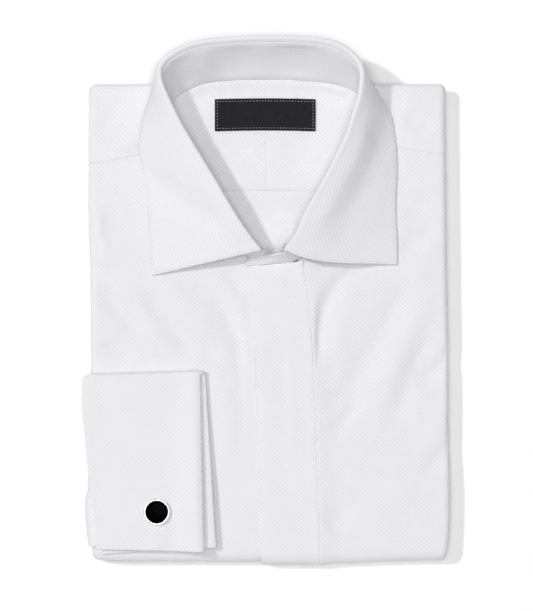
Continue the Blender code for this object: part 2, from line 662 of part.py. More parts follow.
def cuff_gap(x, y):
    hand = ease((x - SLEEVE_IN_X) / CUFF_NARROWS)
    return CUFF_GAP_SLEEVE + (CUFF_GAP_HAND - CUFF_GAP_SLEEVE) * hand + CUFF_OPENS * cuff_corner(x, y)


def cuff_half_thickness():
    """Half the thickness of the cuff's front or back half, which is two plies and their gap."""
    return CUFF_PLY + CUFF_PLY_GAP / 2


def cuff_grid(flat_rows, turn_rows, columns, end_steps):
    """Middle face of the cuff's wall, a double ply that goes down the front and up the back."""
    w = np.concatenate([np.linspace(0, 1, flat_rows + 1)[:-1], np.linspace(1, 2, turn_rows + 1)[:-1],
                        np.linspace(2, 3, flat_rows + 1)])
    end_r = (CUFF_PLY + CUFF_PLY_GAP) / 2
    grid = []
    for place in w:
        front_y = CUFF_BOTTOM_Y + (CUFF_TOP_Y - CUFF_BOTTOM_Y) * min(place, 1)
        back_y = CUFF_TOP_Y + (CUFF_BOTTOM_Y - CUFF_BACK_DROP - CUFF_TOP_Y) * max(place - 2, 0)
        ends_y = front_y if place <= 1 else back_y
        share = ease(place - 1)
        left = (1 - share) * read(CUFF_ENDS, ends_y, 1) + share * read(CUFF_ENDS, ends_y, 3)
        right = (1 - share) * read(CUFF_ENDS, ends_y, 2) + share * read(CUFF_ENDS, ends_y, 4)
        across = np.linspace(left, right - end_r, columns + 1)
        bend = np.linspace(0, math.pi, end_steps + 1)[1:-1]
        x = np.concatenate([across, across[-1] + end_r * np.sin(bend), across[::-1]])
        side = np.concatenate([np.full(columns + 1, 1.0), np.cos(bend), np.full(columns + 1, -1.0)])
        base = cuff_base(x, ends_y)
        top = base + 2 * cuff_half_thickness() + cuff_gap(x, ends_y)
        turn_r = (top - base) / 2
        angle = min(max(place - 1, 0), 1) * math.pi
        fold_y = CUFF_TOP_Y - turn_r - cuff_half_thickness()
        foot_y = CUFF_BOTTOM_Y if place <= 1 else CUFF_BOTTOM_Y - CUFF_BACK_DROP
        y_flat = foot_y + (fold_y - foot_y) * (ends_y - foot_y) / (CUFF_TOP_Y - foot_y)
        turned = CUFF_BACK_TURN * max(place - 2, 0) * (x - CUFF_MID_X)
        y = y_flat + turn_r * math.sin(angle) + turned
        z = (top + base) / 2 + turn_r * math.cos(angle)
        points = np.stack([x, y, z], axis=-1)
        normal = np.array([0, math.sin(angle), math.cos(angle)])
        grid.append(points + end_r * side[:, None] * normal)
    return np.array(grid)


def sleeve_grid(rows, flat_steps, turn_steps):
    """Middle face of the flattened sleeve, from inside the cuff round the side of the pack."""
    grid = []
    for y in np.linspace(*SLEEVE_Y, rows):
        axis_x = -(half_width(-1, y) - SIDE_R)
        axis_z = PACK_TOP - SIDE_R
        line = []
        for x in np.linspace(SLEEVE_IN_X, axis_x, flat_steps + 1)[:-1]:
            line.append((x, y, cuff_base(x, y) + cuff_half_thickness() + SEAM_GAP + SLEEVE_WALL / 2))
        start = cuff_base(axis_x, y) + cuff_half_thickness() + SEAM_GAP + SLEEVE_WALL / 2 - axis_z
        close = SIDE_R + SEAM_GAP + SLEEVE_WALL / 2
        for angle in np.linspace(0, SLEEVE_TURN, turn_steps + 1):
            radius = start + (close - start) * ease(angle / SLEEVE_SETTLE)
            line.append((axis_x - radius * math.sin(angle), y, axis_z + radius * math.cos(angle)))
        grid.append(line)
    return np.array(grid)


def link_seat_z():
    """Height of the cuff's top face at the link, where the bezel rests."""
    base = cuff_base(LINK_X, LINK_Y)
    return base + 3 * cuff_half_thickness() + cuff_gap(LINK_X, LINK_Y)


# ---------------------------------------------------------------- hidden layers
def layers_ring(x, inset, slotted, neck):
    """Outline of the hidden layers in the plane at x, as rows of y and z.

    inset rounds the sides off; slotted is true where the laps of the side folds go in; neck is
    true behind the neck opening, where the layers lie lower.
    """
    axis = float(fold_axis_y(x))
    nose_y = float(top_axis_y(x)) - CORNER_ROOM * slotted
    nose_z = PACK_TOP - SIDE_R
    nose_r = SIDE_R - LAYER_MARGIN - NOSE_SLACK - inset
    top = PACK_TOP - LAYER_MARGIN - inset
    low = top - INNER_DEPTH * neck
    ring = [(RECESS_END_Y - RECESS_STEP, top), (RECESS_END_Y, low), (nose_y - NOSE_FLAT, low)]
    for angle in np.radians(NOSE_TURNS):
        ring.append((nose_y + nose_r * math.sin(angle), min(nose_z + nose_r * math.cos(angle), low)))
    slot_low, slot_high = SLOT_Z[0] - inset, SLOT_Z[1] + inset
    if slotted:
        inner_y = axis - SLOT_END
        outer_y = inner_y - SLOT_ROUND - inset
    else:
        inner_y = nose_y - LAYER_NOTCH
        outer_y = nose_y + LAYER_LIP + LAYER_WAVE * math.sin(x / LAYER_WAVE_LENGTH)
    ring.append((inner_y, slot_high))
    for out, open_share, slot_share in LAYER_EDGES:
        share = slot_share if slotted else open_share
        ring.append((inner_y + (outer_y - inner_y) * out, slot_high + (slot_low - slot_high) * share))
    dip = PLY if DIP_X[0] <= x <= DIP_X[1] else 0.0
    tail = TAIL_Y - TAIL_GAP - inset - CORNER_ROOM * slotted
    ring += [(tail, slot_low), (tail, LAYER_MARGIN + inset + dip)]
    for turn in np.linspace(0, 1, 7):
        radius = FOLD_R - LAYER_MARGIN - inset - dip * (1 - turn)
        ring.append((axis - radius * math.sin(turn * math.pi), FOLD_R - radius * math.cos(turn * math.pi)))
    return [(x, y, z) for y, z in ring]


def layers_rings():
    """Rings of the hidden layers from the viewer's left to the right."""
    left, right = LAYER_SIDE_X
    rows = [(left - out, inset, True, False) for out, inset in LAYER_ROUND]
    rows += [(left + SLOT_SIDE, 0, True, False), (left + SLOT_SIDE + SLOT_STEP, 0, False, False)]
    rows += [(-RECESS_HALF - RECESS_STEP, 0, False, False), (-RECESS_HALF, 0, False, True)]
    dip = (DIP_X[0] - DIP_STEP[0], DIP_X[0], 0.0, DIP_X[1], DIP_X[1] + DIP_STEP[1])
    rows += [(x, 0, False, True) for x in sorted([*dip, *NECK_X, *(-x for x in NECK_X)])]
    rows += [(RECESS_HALF, 0, False, True), (RECESS_HALF + RECESS_STEP, 0, False, False)]
    rows += [(right - SLOT_SIDE - SLOT_STEP, 0, False, False), (right - SLOT_SIDE, 0, True, False)]
    rows += [(right + out, inset, True, False) for out, inset in reversed(LAYER_ROUND)]
    return [layers_ring(*row) for row in rows]


# ---------------------------------------------------------------- objects
def make_cloth(name, grid, normals, thickness, material):
    """A wall whose outer face is the grid."""
    return make_wall(name, grid, grid - thickness * normals, material)


def make_centred_cloth(name, grid, thickness, material):
    """A wall with the grid in the middle of its thickness."""
    normals = grid_normals(grid)
    return make_wall(name, grid + thickness / 2 * normals, grid - thickness / 2 * normals, material)


def make_body(cloth):
    for name, side in (("front_right", -1), ("front_left", 1)):
        grid, normals = front_grid(side, flat_rows=17, fold_rows=6, under_rows=4, tail_rows=4,
                                   columns=10, wrap_steps=6)
        make_cloth(name, grid, normals, WALL, cloth)
    grid, normals = placket_grid(flat_rows=14, fold_rows=6, under_rows=4, tail_rows=4, columns=3)
    make_cloth("fly_placket", grid, normals, WALL, cloth)
    for name, side in (("yoke_right", -1), ("yoke_left", 1)):
        grid, normals = yoke_grid(side, flat_rows=4, fold_rows=5, columns=3, wrap_steps=5)
        make_cloth(name, grid, normals, WALL, cloth)


def make_neck_inside(cloth):
    def left_edge(y):
        return neck_half_width(-1, y)

    def right_edge(y):
        return neck_half_width(1, y)

    def left_of_split(y):
        return np.full_like(y, YOKE_SPLIT_X - SEAM_GAP / 2)

    def right_of_split(y):
        return np.full_like(y, YOKE_SPLIT_X + SEAM_GAP / 2)

    yoke_low_y = YOKE_SEAM_Y + SEAM_GAP
    pieces = [
        ("inner_yoke_right", yoke_low_y, INNER_TOP_Y, left_edge, left_of_split),
        ("inner_yoke_left", yoke_low_y, INNER_TOP_Y, right_of_split, right_edge),
        ("back", BACK_END_Y, YOKE_SEAM_Y, left_edge, right_edge),
    ]
    for name, low_y, high_y, left, right in pieces:
        grid = neck_piece_grid(low_y, high_y, left, right, rows=8, columns=4)
        make_cloth(name, grid, UP, WALL, cloth)


def make_collar(cloth):
    leaf = leaf_grid(stations=46, roll_steps=5, fall_steps=8)
    band = band_grid(stations=46, tab_stations=7, steps=3)
    make_centred_cloth("collar_leaf", leaf, COLLAR_WALL, cloth)
    make_centred_cloth("collar_band", band, COLLAR_WALL, cloth)


def make_label(material):
    share = np.linspace(-1, 1, 9)
    x = (sum(LABEL_X) + (LABEL_X[1] - LABEL_X[0]) * share) / 2
    z = PACK_TOP - INNER_DEPTH + SEAM_GAP + LABEL_WALL
    rows = [np.stack([x, y + LABEL_BOW * (1 - share**2), np.full_like(x, z)], axis=-1)
            for y in np.linspace(*LABEL_Y, 3)]
    make_cloth("label", np.array(rows), UP, LABEL_WALL, material)


def make_sleeve_and_cuff(cloth):
    sleeve = sleeve_grid(rows=8, flat_steps=3, turn_steps=8)
    make_centred_cloth("right_sleeve", sleeve, SLEEVE_WALL, cloth)
    cuff = cuff_grid(flat_rows=8, turn_rows=5, columns=6, end_steps=4)
    cuff = make_centred_cloth("right_cuff", cuff, CUFF_PLY, cloth)
    cutter = make_turned("buttonhole_cutter", [(HOLE_R, 0), (HOLE_R, HOLE_DEPTH)], 12, PACK_TOP, cloth)
    cutter.hide_render = True
    cutter.display_type = "WIRE"
    cut = cuff.modifiers.new("Buttonholes", "BOOLEAN")
    cut.operation = "DIFFERENCE"
    cut.object = cutter


def make_cufflink(steel, onyx):
    seat = link_seat_z() + LINK_CLEAR
    toggle_z = PACK_TOP + SEAM_GAP
    long, wide, tall = TOGGLE_SIZE
    cup_r = ONYX_R + ONYX_GAP
    bezel = [
        (POST_R, toggle_z + tall + SEAM_GAP - seat),
        (POST_R, 0),
        (BEZEL_R - BEZEL_BEVEL, 0),
        (BEZEL_R, BEZEL_BEVEL),
        (BEZEL_R, BEZEL_H - BEZEL_BEVEL),
        (BEZEL_R - BEZEL_BEVEL, BEZEL_H),
        (cup_r, BEZEL_H - BEZEL_LIP),
        (cup_r, BEZEL_H - ONYX_DEPTH - ONYX_GAP),
    ]
    stone = [
        (ONYX_R, 0),
        (ONYX_R, ONYX_DEPTH),
        (ONYX_R * 0.7, ONYX_DEPTH + ONYX_DOME * 0.6),
        (ONYX_R * 0.35, ONYX_DEPTH + ONYX_DOME),
    ]
    toggle = [
        (long / 2 - TOGGLE_BEVEL, 0),
        (long / 2, TOGGLE_BEVEL),
        (long / 2, tall - TOGGLE_BEVEL),
        (long / 2 - TOGGLE_BEVEL, tall),
    ]
    make_turned("cufflink_bezel", bezel, 28, seat, steel)
    make_turned("cufflink_onyx", stone, 28, seat + BEZEL_H - ONYX_DEPTH, onyx)
    make_turned("cufflink_toggle", toggle, 16, toggle_z, steel, flatten=wide / long)


def make_shirt():
    for item in list(bpy.data.objects):
        bpy.data.objects.remove(item, do_unlink=True)
    cloth = make_material("shirt_cloth", CLOTH_WHITE, 0.9)
    label_cloth = make_material("label_cloth", LABEL_BLACK, 0.85)
    steel = make_material("polished_steel", STEEL, 0.2, 1.0)
    onyx = make_material("black_onyx", ONYX_BLACK, 0.12)
    make_body(cloth)
    make_neck_inside(cloth)
    make_collar(cloth)
    make_label(label_cloth)
    make_sleeve_and_cuff(cloth)
    make_cufflink(steel, onyx)
    make_loft("hidden_layers", layers_rings(), cloth)


make_shirt()
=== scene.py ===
"""Looks of a long sleeve dress shirt, folded flat: fine cloth, seams, stitches, light and camera.

Each piece of cloth is a thin shell on the form of its CAD solid, from the same named sizes and
functions as the part's source, with soft folds, seams and stitches added. Sizes are in millimetres.
Seen from above, x runs to the right from the pack's centre line, y runs towards the collar, and z
is the height above the table. make_mesh turns them into metres.
"""
import math

import bmesh
import bpy
import numpy as np
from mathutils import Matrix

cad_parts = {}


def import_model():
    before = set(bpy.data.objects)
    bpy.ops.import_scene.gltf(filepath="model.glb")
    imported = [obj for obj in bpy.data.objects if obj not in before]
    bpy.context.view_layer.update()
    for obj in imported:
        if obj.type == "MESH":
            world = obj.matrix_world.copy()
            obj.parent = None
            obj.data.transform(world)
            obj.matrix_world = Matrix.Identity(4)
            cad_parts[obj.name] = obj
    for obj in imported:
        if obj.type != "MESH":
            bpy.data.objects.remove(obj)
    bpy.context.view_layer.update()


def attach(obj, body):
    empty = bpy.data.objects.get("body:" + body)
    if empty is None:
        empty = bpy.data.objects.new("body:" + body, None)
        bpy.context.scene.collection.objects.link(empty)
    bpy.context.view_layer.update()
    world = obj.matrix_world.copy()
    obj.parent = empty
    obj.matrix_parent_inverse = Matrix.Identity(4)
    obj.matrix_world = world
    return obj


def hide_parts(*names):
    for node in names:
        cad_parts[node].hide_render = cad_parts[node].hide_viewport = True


METRES_PER_MM = 0.001
PACK_SHIFT_X = 2.1        # puts the middle of the whole shirt, cuff included, over the origin
UP = np.array([0.0, 0.0, 1.0])

# ---------------------------------------------------------------- the part's own sizes
WALL = 1.2
SEAM_GAP = 0.3
PLY = WALL + SEAM_GAP

PACK_TOP = 18.0
SIDE_R = 4.35
SIDE_LAP = 8.0
FOLD_R = 9.0
TOP_EDGE_Y = 152.5
NECK_RISE = 12.5
NECK_RISE_HALF = 80.0
TAIL_Y = 146.0
TAIL_R = 3.5
CORNER_SHARE = 0.015
TAIL_CORNER_TURN = math.radians(76)
YOKE_CORNER_TURN = math.radians(86)
SIDE_REACH = 118.0

# Half width of the pack:  y, viewer's left, viewer's right
SIDES = [
    (-182, 123.4, 124.8),
    (-165, 123.8, 126.8),
    (-150, 124.1, 127.6),
    (-125, 124.1, 127.4),
    (-90, 124.1, 126.4),
    (-30, 124.5, 126.2),
    (15, 124.8, 125.2),
    (60, 126.2, 124.8),
    (120, 126.2, 124.1),
    (152, 125.5, 124.1),
]

# Bottom edge of the pack:  x, y
BOTTOM_EDGE = [
    (-122, -180.8),
    (-110, -182.4),
    (30, -182.8),
    (57, -183.6),
    (85, -182.2),
    (122, -181.5),
]

# Shoulder seam:  x, y
SHOULDER = [
    (-125, 96.3),
    (-69, 107.8),
    (72, 111.5),
    (125, 102.8),
]
SHOULDER_TOP_Y = 116.0
SHOULDER_LOW_Y = 98.0
NECK_STEP = 0.4

# Fly placket:  y, left edge x, right edge x
PLACKET = [
    (-172, -4.8, 35.6),
    (-103, -7.0, 33.2),
    (-33, -9.4, 30.4),
    (2, -10.8, 27.6),
    (26, -15.7, 24.1),
]
PLACKET_STRAIGHT_Y = -172.0
PLACKET_SIDES_X = (-8.0, 30.0)
PLACKET_TOP = [(-16, 24.5), (-0.4, 25.7), (16.4, 27.2), (25, 28.6)]
FOLD_DROOP = 1.1
PLACKET_DIP = 6.5
UNDER_LAP_X = 14.0
RAMP = 15.0
RAMP_TOP_Y = (30.0, 24.0)
EDGE_ROUNDS = 12
NECK_FRONT_Y = 33.0

# Collar, from the viewer's left front round the back to the right front.
# seam x, y on the pack; fold line x, y, z; free edge x, y, z of the leaf; then angles in degrees:
# the way out from the neck, the slope of the leaf where it leaves the fold, and at its edge;
# and how far the leaf sags towards the front on its way down
COLLAR = [
    (-11.5, 29.6, -5.2, 35.6, 35.0, -81.1, 18.8, 19.4, 193, 15, 9, 0),
    (-35.3, 44.7, -20.1, 55.6, 40.0, -82.8, 40.5, 19.4, 194, 21, 13, 0),
    (-53.5, 69.2, -36.7, 83.5, 42.5, -84.0, 63.6, 19.4, 202, 27, 18, 0),
    (-64.7, 95.8, -52.9, 110.4, 43.5, -89.0, 91.5, 19.4, 208, 33, 26, 0),
    (-68.2, 109.0, -60.8, 124.2, 43.8, -90.2, 112.5, 19.4, 203, 37, 36, 0),
    (-69.3, 120.2, -67.2, 137.3, 44.0, -85.9, 132.1, 19.5, 195, 44, 56, 0),
    (-68.5, 134.0, -72.9, 150.5, 44.2, -81.7, 146.4, 19.6, 180, 54, 80, 0),
    (-66.5, 140.5, -74.3, 157.5, 44.3, -79.2, 153.6, 17.8, 165, 66, 88, 0),
    (-63.0, 145.0, -73.1, 163.6, 44.5, -76.4, 160.2, 11.5, 150, 76, 92, 0),
    (-55.5, 149.6, -65.8, 170.8, 44.7, -69.6, 165.4, 8.0, 132, 80, 94, 0),
    (-44.4, 153.8, -50.0, 177.6, 45.0, -53.0, 169.2, 6.5, 113, 82, 98, 0),
    (-25.5, 155.8, -28.0, 180.4, 45.0, -30.0, 171.5, 6.0, 98, 83, 100, 0),
    (-0.4, 156.6, -0.4, 181.5, 45.0, 0.0, 172.3, 6.0, 90, 85, 100, 0),
    (24.1, 155.6, 25.2, 180.8, 45.0, 27.0, 171.6, 6.0, 83, 83, 100, 0),
    (43.7, 153.5, 42.2, 178.4, 45.0, 47.5, 169.2, 6.5, 68, 82, 98, 0),
    (56.0, 150.0, 53.4, 173.0, 44.7, 61.0, 164.0, 8.0, 52, 80, 92, 0),
    (63.0, 145.8, 61.0, 165.2, 44.5, 68.4, 158.8, 11.5, 34, 78, 84, 0),
    (66.5, 141.5, 63.3, 158.2, 44.3, 72.2, 153.6, 17.8, 16, 66, 74, 0),
    (69.0, 136.0, 63.1, 151.1, 44.2, 76.4, 146.2, 19.6, 0, 54, 66, 0),
    (71.2, 126.0, 61.6, 141.5, 44.0, 85.5, 130.9, 19.5, -14, 42, 45, 0),
    (71.4, 113.0, 57.2, 127.0, 43.8, 88.9, 114.6, 19.4, -22, 37, 35, 0),
    (69.5, 101.0, 52.3, 112.2, 43.5, 89.6, 92.2, 19.4, -27, 31, 28, 0),
    (56.0, 70.0, 39.0, 85.6, 42.5, 88.5, 67.8, 19.4, -19, 26, 19, 0),
    (40.0, 47.5, 24.8, 60.4, 40.0, 89.5, 45.4, 19.4, -13, 20, 14, 0),
    (29.0, 35.6, 19.7, 48.4, 38.0, 89.8, 34.9, 19.4, -10, 17, 11, 2),
    (16.4, 28.2, 10.7, 35.3, 35.0, 89.8, 26.2, 19.4, -6, 14, 9, 4.4),
]
BAND_FOOT_Z = 18.9
ROLL_R = 1.4
ROLL_RISE = 2.5
SAG_SHARE = 27 / 4        # makes the sag's greatest depth the number in the table
BAND_GAP = 0.08           # between the band's top and the leaf's
BAND_SINKS = 0.55         # the band's foot goes this far into the seam

# Band ends beyond the leaf:  foot x, y; top x, y, z. The left end is lapped, the right one laps it
UNDER_TAB = [
    (8.7, 33.5, 11.5, 40.9, 21.8),
    (-1.7, 31.0, 2.4, 37.5, 23.6),
]
OVER_TAB = [
    (8.7, 27.4, 4.5, 33.1, 27.0),
    (-0.4, 26.7, -3.8, 31.9, 22.8),
    (-8.7, 26.0, -9.7, 30.8, 21.2),
    (-13.3, 25.7, -13.9, 29.3, 20.6),
    (-15.5, 25.5, -15.6, 27.3, 20.4),
]

INNER_DEPTH = PLY
YOKE_SEAM_Y = 78.4
BACK_END_Y = 24.0
YOKE_SPLIT_X = -1.0

LABEL_X = (-37.3, 32.7)
LABEL_Y = (119.7, 141.6)
LABEL_BOW = 0.6
LABEL_LIFT = 1.0
LABEL_CORNER = 0.35       # its corners stand up this much more
LABEL_WALL = 0.6
SPLIT_GAP = 0.08          # half the gap between the inner yoke's halves

CUFF_PLY = 1.0
CUFF_PLY_GAP = 0.4
CUFF_HALF = CUFF_PLY + CUFF_PLY_GAP / 2      # half the thickness of its front or back half
CUFF_END_R = (CUFF_PLY + CUFF_PLY_GAP) / 2   # its plies turn over at the ends with this radius
CUFF_TOP_Y = -49.0
CUFF_BOTTOM_Y = -173.0
CUFF_BACK_DROP = 1.2
CUFF_GAP_SLEEVE = 2.6
CUFF_GAP_HAND = 1.4
CUFF_NARROWS = 44.0
CUFF_CURL = 4.8
CUFF_OPENS = 2.4
CUFF_CURL_TOP = 0.4
CUFF_CURL_X = -70.0
CUFF_CURL_RUN = 24.0
CUFF_BACK_TURN = 0.06
CUFF_ROLL = (1.8, 0.7)    # the front half and the back half turn down this much at their right edges
CUFF_MID_X = -88.0        # the cuff's two long edges aren't quite level either side of this
CUFF_TILT = (-0.022, 0.030)   # slope of its bottom edge and of its top edge
CUFF_ROLL_RUN = 7.0       # width over which the right edges turn down
# Left and right end of the cuff's front half, then of its back half:  y, four x
CUFF_ENDS = [
    (-174, -119.8, -45.2, -116.0, -36.8),
    (-152, -121.0, -45.6, -116.0, -38.2),
    (-127, -124.6, -46.2, -116.0, -39.6),
    (-97, -127.2, -46.8, -116.0, -41.4),
    (-68, -129.8, -47.4, -116.0, -43.2),
    (-49, -129.4, -47.9, -116.0, -44.2),
]

SLEEVE_WALL = 2.0
SLEEVE_Y = (-170.0, -58.0)
SLEEVE_IN_X = -104.0
SLEEVE_TURN = math.radians(150)
SLEEVE_SETTLE = math.radians(100)
SLEEVE_NOTCH = (-134.0, -4)   # below this y the sleeve's end stands further out, over this run
SLEEVE_BULGE = 1.7
SLEEVE_BULGE_RUN = 24

LINK_X = -77.8
LINK_Y = -146.4
LINK_LIFT = 2.4
LINK_LIFT_R = 20.0
LINK_CLEAR = 0.5
BEZEL_R = 9.3
BEZEL_H = 1.9
ONYX_R = 7.4
ONYX_DEPTH = 1.0
ONYX_DOME = 0.6
ONYX_GAP = 0.12           # between the stone and its cup
POST_R = 1.2
TOGGLE_SIZE = (17.0, 6.0, 1.8)
TOGGLE_ROUND = 0.8

LAYER_MARGIN = PLY
LAYER_SIDE_X = (-119.0, 119.7)
CORNER_ROOM = 7.0
SLOT_Z = (7.2, 10.8)
SLOT_SIDE = SIDE_LAP + 0.5
RECESS_HALF = 76.0
RECESS_END_Y = 16.0
LAYER_SLACK = 2.4         # the fine layers lie this much further in than the solid
LAYER_OUT = (1.6, 2.8, 0.9, 2.3, 1.3)    # how far the cloth edges that show at the top edge stand out
LAYER_WAVES = (0.7, 21, 2)               # their waves' height, length over 2 pi, and lag between them
LAYER_TOOTH = ((0.2, 0.2), (0, 0.5), (0.2, 0.8))   # back from a cloth edge's end, down in layers
LAYER_FROM = 4            # the cloth edges start this far inside the top fold
LAYER_FOLD_STEPS = 13
SLOT_BACK = 1.6           # at the sides they start this far past the bottom fold's axis
SLOT_REACH = 1.2
NOSE_SLACK = 1.0
NOSE_ANGLES = (25, 60, 90, 120, 155)
NOSE_BACK = 1.5
NECK_SLACK = 0.6
RECESS_SLOPE = 2
TAIL_BACK = 0.8
LAYER_ENDS = ((2.4, 1.35), (1.5, 0.5))   # how far out of the last full ring the end rings lie, and inset
LAYER_RINGS = 90

# ---------------------------------------------------------------- cloth, finer than the part's
CLOTH = 0.7               # thickness of a panel
STRIP = 1.15              # thickness of the band and the leaf, which are sewn double
PLACKET_CLOTH = 0.75
CUFF_CLOTH = CUFF_PLY - 0.1
LAP = 3.0                 # a panel goes on this far under the one sewn over it
LAP_DROP = 0.85           # and lies this much lower there
LAP_STEP = 1.1            # it goes down over this width
EDGE_STEPS = (0, 0.4, 0.8, 1.2, 1.6, 2.1, 2.8, 3.8, 5.2)   # rows near an edge, in from it
NECK_FACE = STRIP * 0.75  # the pieces inside the neck end this far in from its seam
NECK_CLIMB = 1.9          # they rise this much to the band's foot
LEAF_ROLL_STEPS = 9
PLACKET_OVER = 0.25       # the placket's right edge lies this much over its line
RAMP_COLUMNS = (RAMP, 12.0, 9.5, 7.5, 5.8, 4.4, 3.2, 2.2, 1.4, 0.8, 0.3, -0.2, -0.7, -LAP)
SPLIT_GROOVE = (0.3, 0.9)         # depth and half width of the groove at the outer yoke's split
INNER_SPLIT_GROOVE = (0.25, 0.8)  # and at the inner yoke's
BACK_DROP = 0.9           # the back goes under the inner yoke by this much
SLEEVE_WAVES = (0.25, 6.3, 17)    # height and two wave lengths of the sleeve's unevenness, over 2 pi

# Where one piece covers another and where soft folds begin: a place and a run; below 0 they end
CUFF_COVERS = ((-25, -10), (-40, -8))              # the cuff lies over the fronts: x, y
PLACKET_COVERS = ((-22, 8), (36.5, -5), (30, -6))  # and the placket: left x, right x, y
LEAF_COVERS = ((22, 9), (92, -10))                 # and the leaf: y, half width
COVERED_SHARE = 0.12      # this much of the folds stays under them
TOP_BEGINS = (-0.25, 0.25)     # along the pack, in pack_path's v
TOP_ENDS = (1.25, -0.25)
UNDER_BEGINS = (1.8, 0.2)
UNDER_ENDS = (3.1, -0.1)
NECK_CLIMB_BEGINS = (52, 30)
NECK_FOLDS_BEGIN = (36, 12)
CUFF_FOLDS_END = (1.4, -0.4)   # round the cuff, in cuff_row's place
LEAF_FOLDS_BEGIN = (2, 14)
LEAF_RIPPLES_RUN = 10
BAND_FOOT_RUN = 9
BAND_TOP_RUN = 6
LINK_SEAT_RUN = 10
NECK_CLIMB_RUN = 9
UNDER_IN = 0.15           # the fronts lie this much further in on the underside than their solids
PLACKET_IN = 0.12         # and the placket this much
SIDE_RIPPLES = (1.7, 3, 1.5, 0.1)      # ripples of the sides: two scales, height, depth inwards
BAND_FULLER = 0.2         # the band's inner face stands out this much more
EDGE_START_X = 20.0       # a first guess of the fronts' inner edges

# Length and spacing of the grids' rows or columns
FRONT_ROWS = (290.0, 2.3)
PLACKET_ROWS = (200.0, 2.3)
PLACKET_COLUMNS = (40.0, 1.6)
YOKE_ROWS = (42.0, 1.8)
YOKE_NECK_COLUMNS = (69.0, 2.6)
NECK_COLUMNS = (60.0, 1.8)
LEAF_STATIONS = (500.0, 2.4)
LEAF_FALL = (70.0, 2.2)
BAND_RISE = (24.0, 1.6)
CUFF_ROWS = (122.0, 2.2)
CUFF_COLUMNS = (80.0, 2.0)
SLEEVE_ROWS = (112.0, 2.0)
WRAP_STEPS = 12           # columns round a side of the pack

# Counts of rows, columns and sides
TOP_TURN_ROWS = 13
FOLD_ROWS = 15
UNDER_ROWS = 121
TAIL_ROWS = 9
FRONT_COLUMNS = 44
YOKE_COLUMNS = 26
INNER_YOKE_ROWS = 46
BACK_ROWS = 34
BAND_STATIONS = 200
UNDER_TAB_STATIONS = 26
OVER_TAB_STATIONS = 40
LABEL_COLUMNS = 60
LABEL_ROWS = 24
CUFF_TURN_ROWS = 13
CUFF_BEND_STEPS = 8
SLEEVE_LAID_COLUMNS = 10
SLEEVE_TURN_COLUMNS = 26
LINK_SIDES = 96
TOGGLE_SIDES = 64
YOKE_WIDE_COLUMNS = 40    # the yoke's columns outside the neck

# Soft folds of the fronts and the outer yokes:  height, half width, points x, y along the fold
TOP_FOLDS = [
    (-3.1, 6, [(84, 29), (69, 25), (57.5, 20.5), (49.5, 14), (44, 5), (39, -7), (34.6, -20),
               (32.6, -36), (33.5, -52)]),
    (0.8, 7, [(64, 6), (55, -6), (50, -22), (47, -46)]),
    (-2.4, 9, [(104, 19), (94, 4), (83, -14), (71, -36), (58, -60), (44, -85)]),
    (1.5, 8, [(112, 6), (103, -10), (95, -28), (86, -48), (76, -74)]),
    (-1.8, 8, [(120, -14), (112, -28), (106, -40), (101, -54), (94, -72), (85, -94)]),
    (-0.6, 9, [(124, -48), (116, -66), (104, -90), (88, -116)]),
    (-2.6, 6, [(134, -28), (124, -40), (114, -51), (104, -60)]),
    (-1.7, 7, [(137, -84), (129, -98), (119, -111), (108, -122)]),
    (-1.5, 5, [(67, -67), (59, -75), (51, -84), (44, -94)]),
    (0.5, 5, [(58, -66), (50, -76), (43, -88)]),
    (-1.3, 8, [(56, -143), (48, -152), (41, -162)]),
    (0.7, 14, [(100, -120), (84, -146), (74, -168)]),
    (-1.4, 6, [(119, 54), (104, 44), (92, 34)]),
    (1.0, 9, [(120, 42), (110, 30), (100, 12)]),
    (-0.7, 8, [(116, 76), (104, 62), (94, 56)]),
    (-2.8, 7, [(-118, 13), (-110, 1), (-102, -9), (-94, -16), (-84, -24)]),
    (1.0, 8, [(-106, 21), (-97, 6), (-86, -7), (-74, -20)]),
    (-2.3, 7, [(-90, 8), (-83, 0), (-75, -8), (-67, -17), (-59, -27), (-50, -40)]),
    (1.2, 8, [(-76, 17), (-62, 2), (-50, -14), (-40, -32)]),
    (-2.2, 7, [(-45, 18), (-37, 5), (-31, -6), (-26, -16), (-21, -28), (-17, -42), (-13, -68),
               (-12, -114)]),
    (-0.9, 5, [(-47, -24), (-39, -42), (-31, -56), (-28, -66)]),
    (0.9, 7, [(-24, 8), (-18, -8), (-14, -26)]),
    (-1.4, 5, [(-30, 23), (-22, 14), (-16, 4)]),
    (1.0, 7, [(-42, -40), (-34, -62), (-32, -92), (-33, -120)]),
    (-1.4, 7, [(-115, -26), (-105, -36), (-94, -43)]),
    (-1.7, 6, [(-101, 136), (-110, 131), (-114, 122), (-111, 111)]),
    (-1.4, 3.5, [(-100, 127), (-105, 119), (-108, 110)]),
    (-1.2, 5, [(-84, 108), (-94, 103), (-102, 101)]),
    (0.7, 4, [(-92, 143), (-82, 147), (-70, 150)]),
    (0.8, 9, [(-92, 132), (-100, 118), (-98, 106)]),
    (0.8, 10, [(-121, 62), (-117, 48), (-108, 36), (-98, 28)]),
    (-0.7, 13, [(-108, 70), (-100, 54), (-96, 42)]),
    (-1.0, 7, [(96, 131), (107, 127), (115, 118)]),
    (0.7, 8, [(92, 144), (104, 137), (114, 131)]),
    (1.0, 5, [(-97, 126), (-94, 118), (-93, 108)]),
    (1.2, 4, [(-119, 70), (-118, 48), (-112, 26)]),
    (-0.3, 7, [(-112, 66), (-108, 46)]),
    (0.8, 3.5, [(-124, 80), (-104, 80)]),
    (0.25, 2.2, [(94, 78.6), (124, 78.6)]),
]

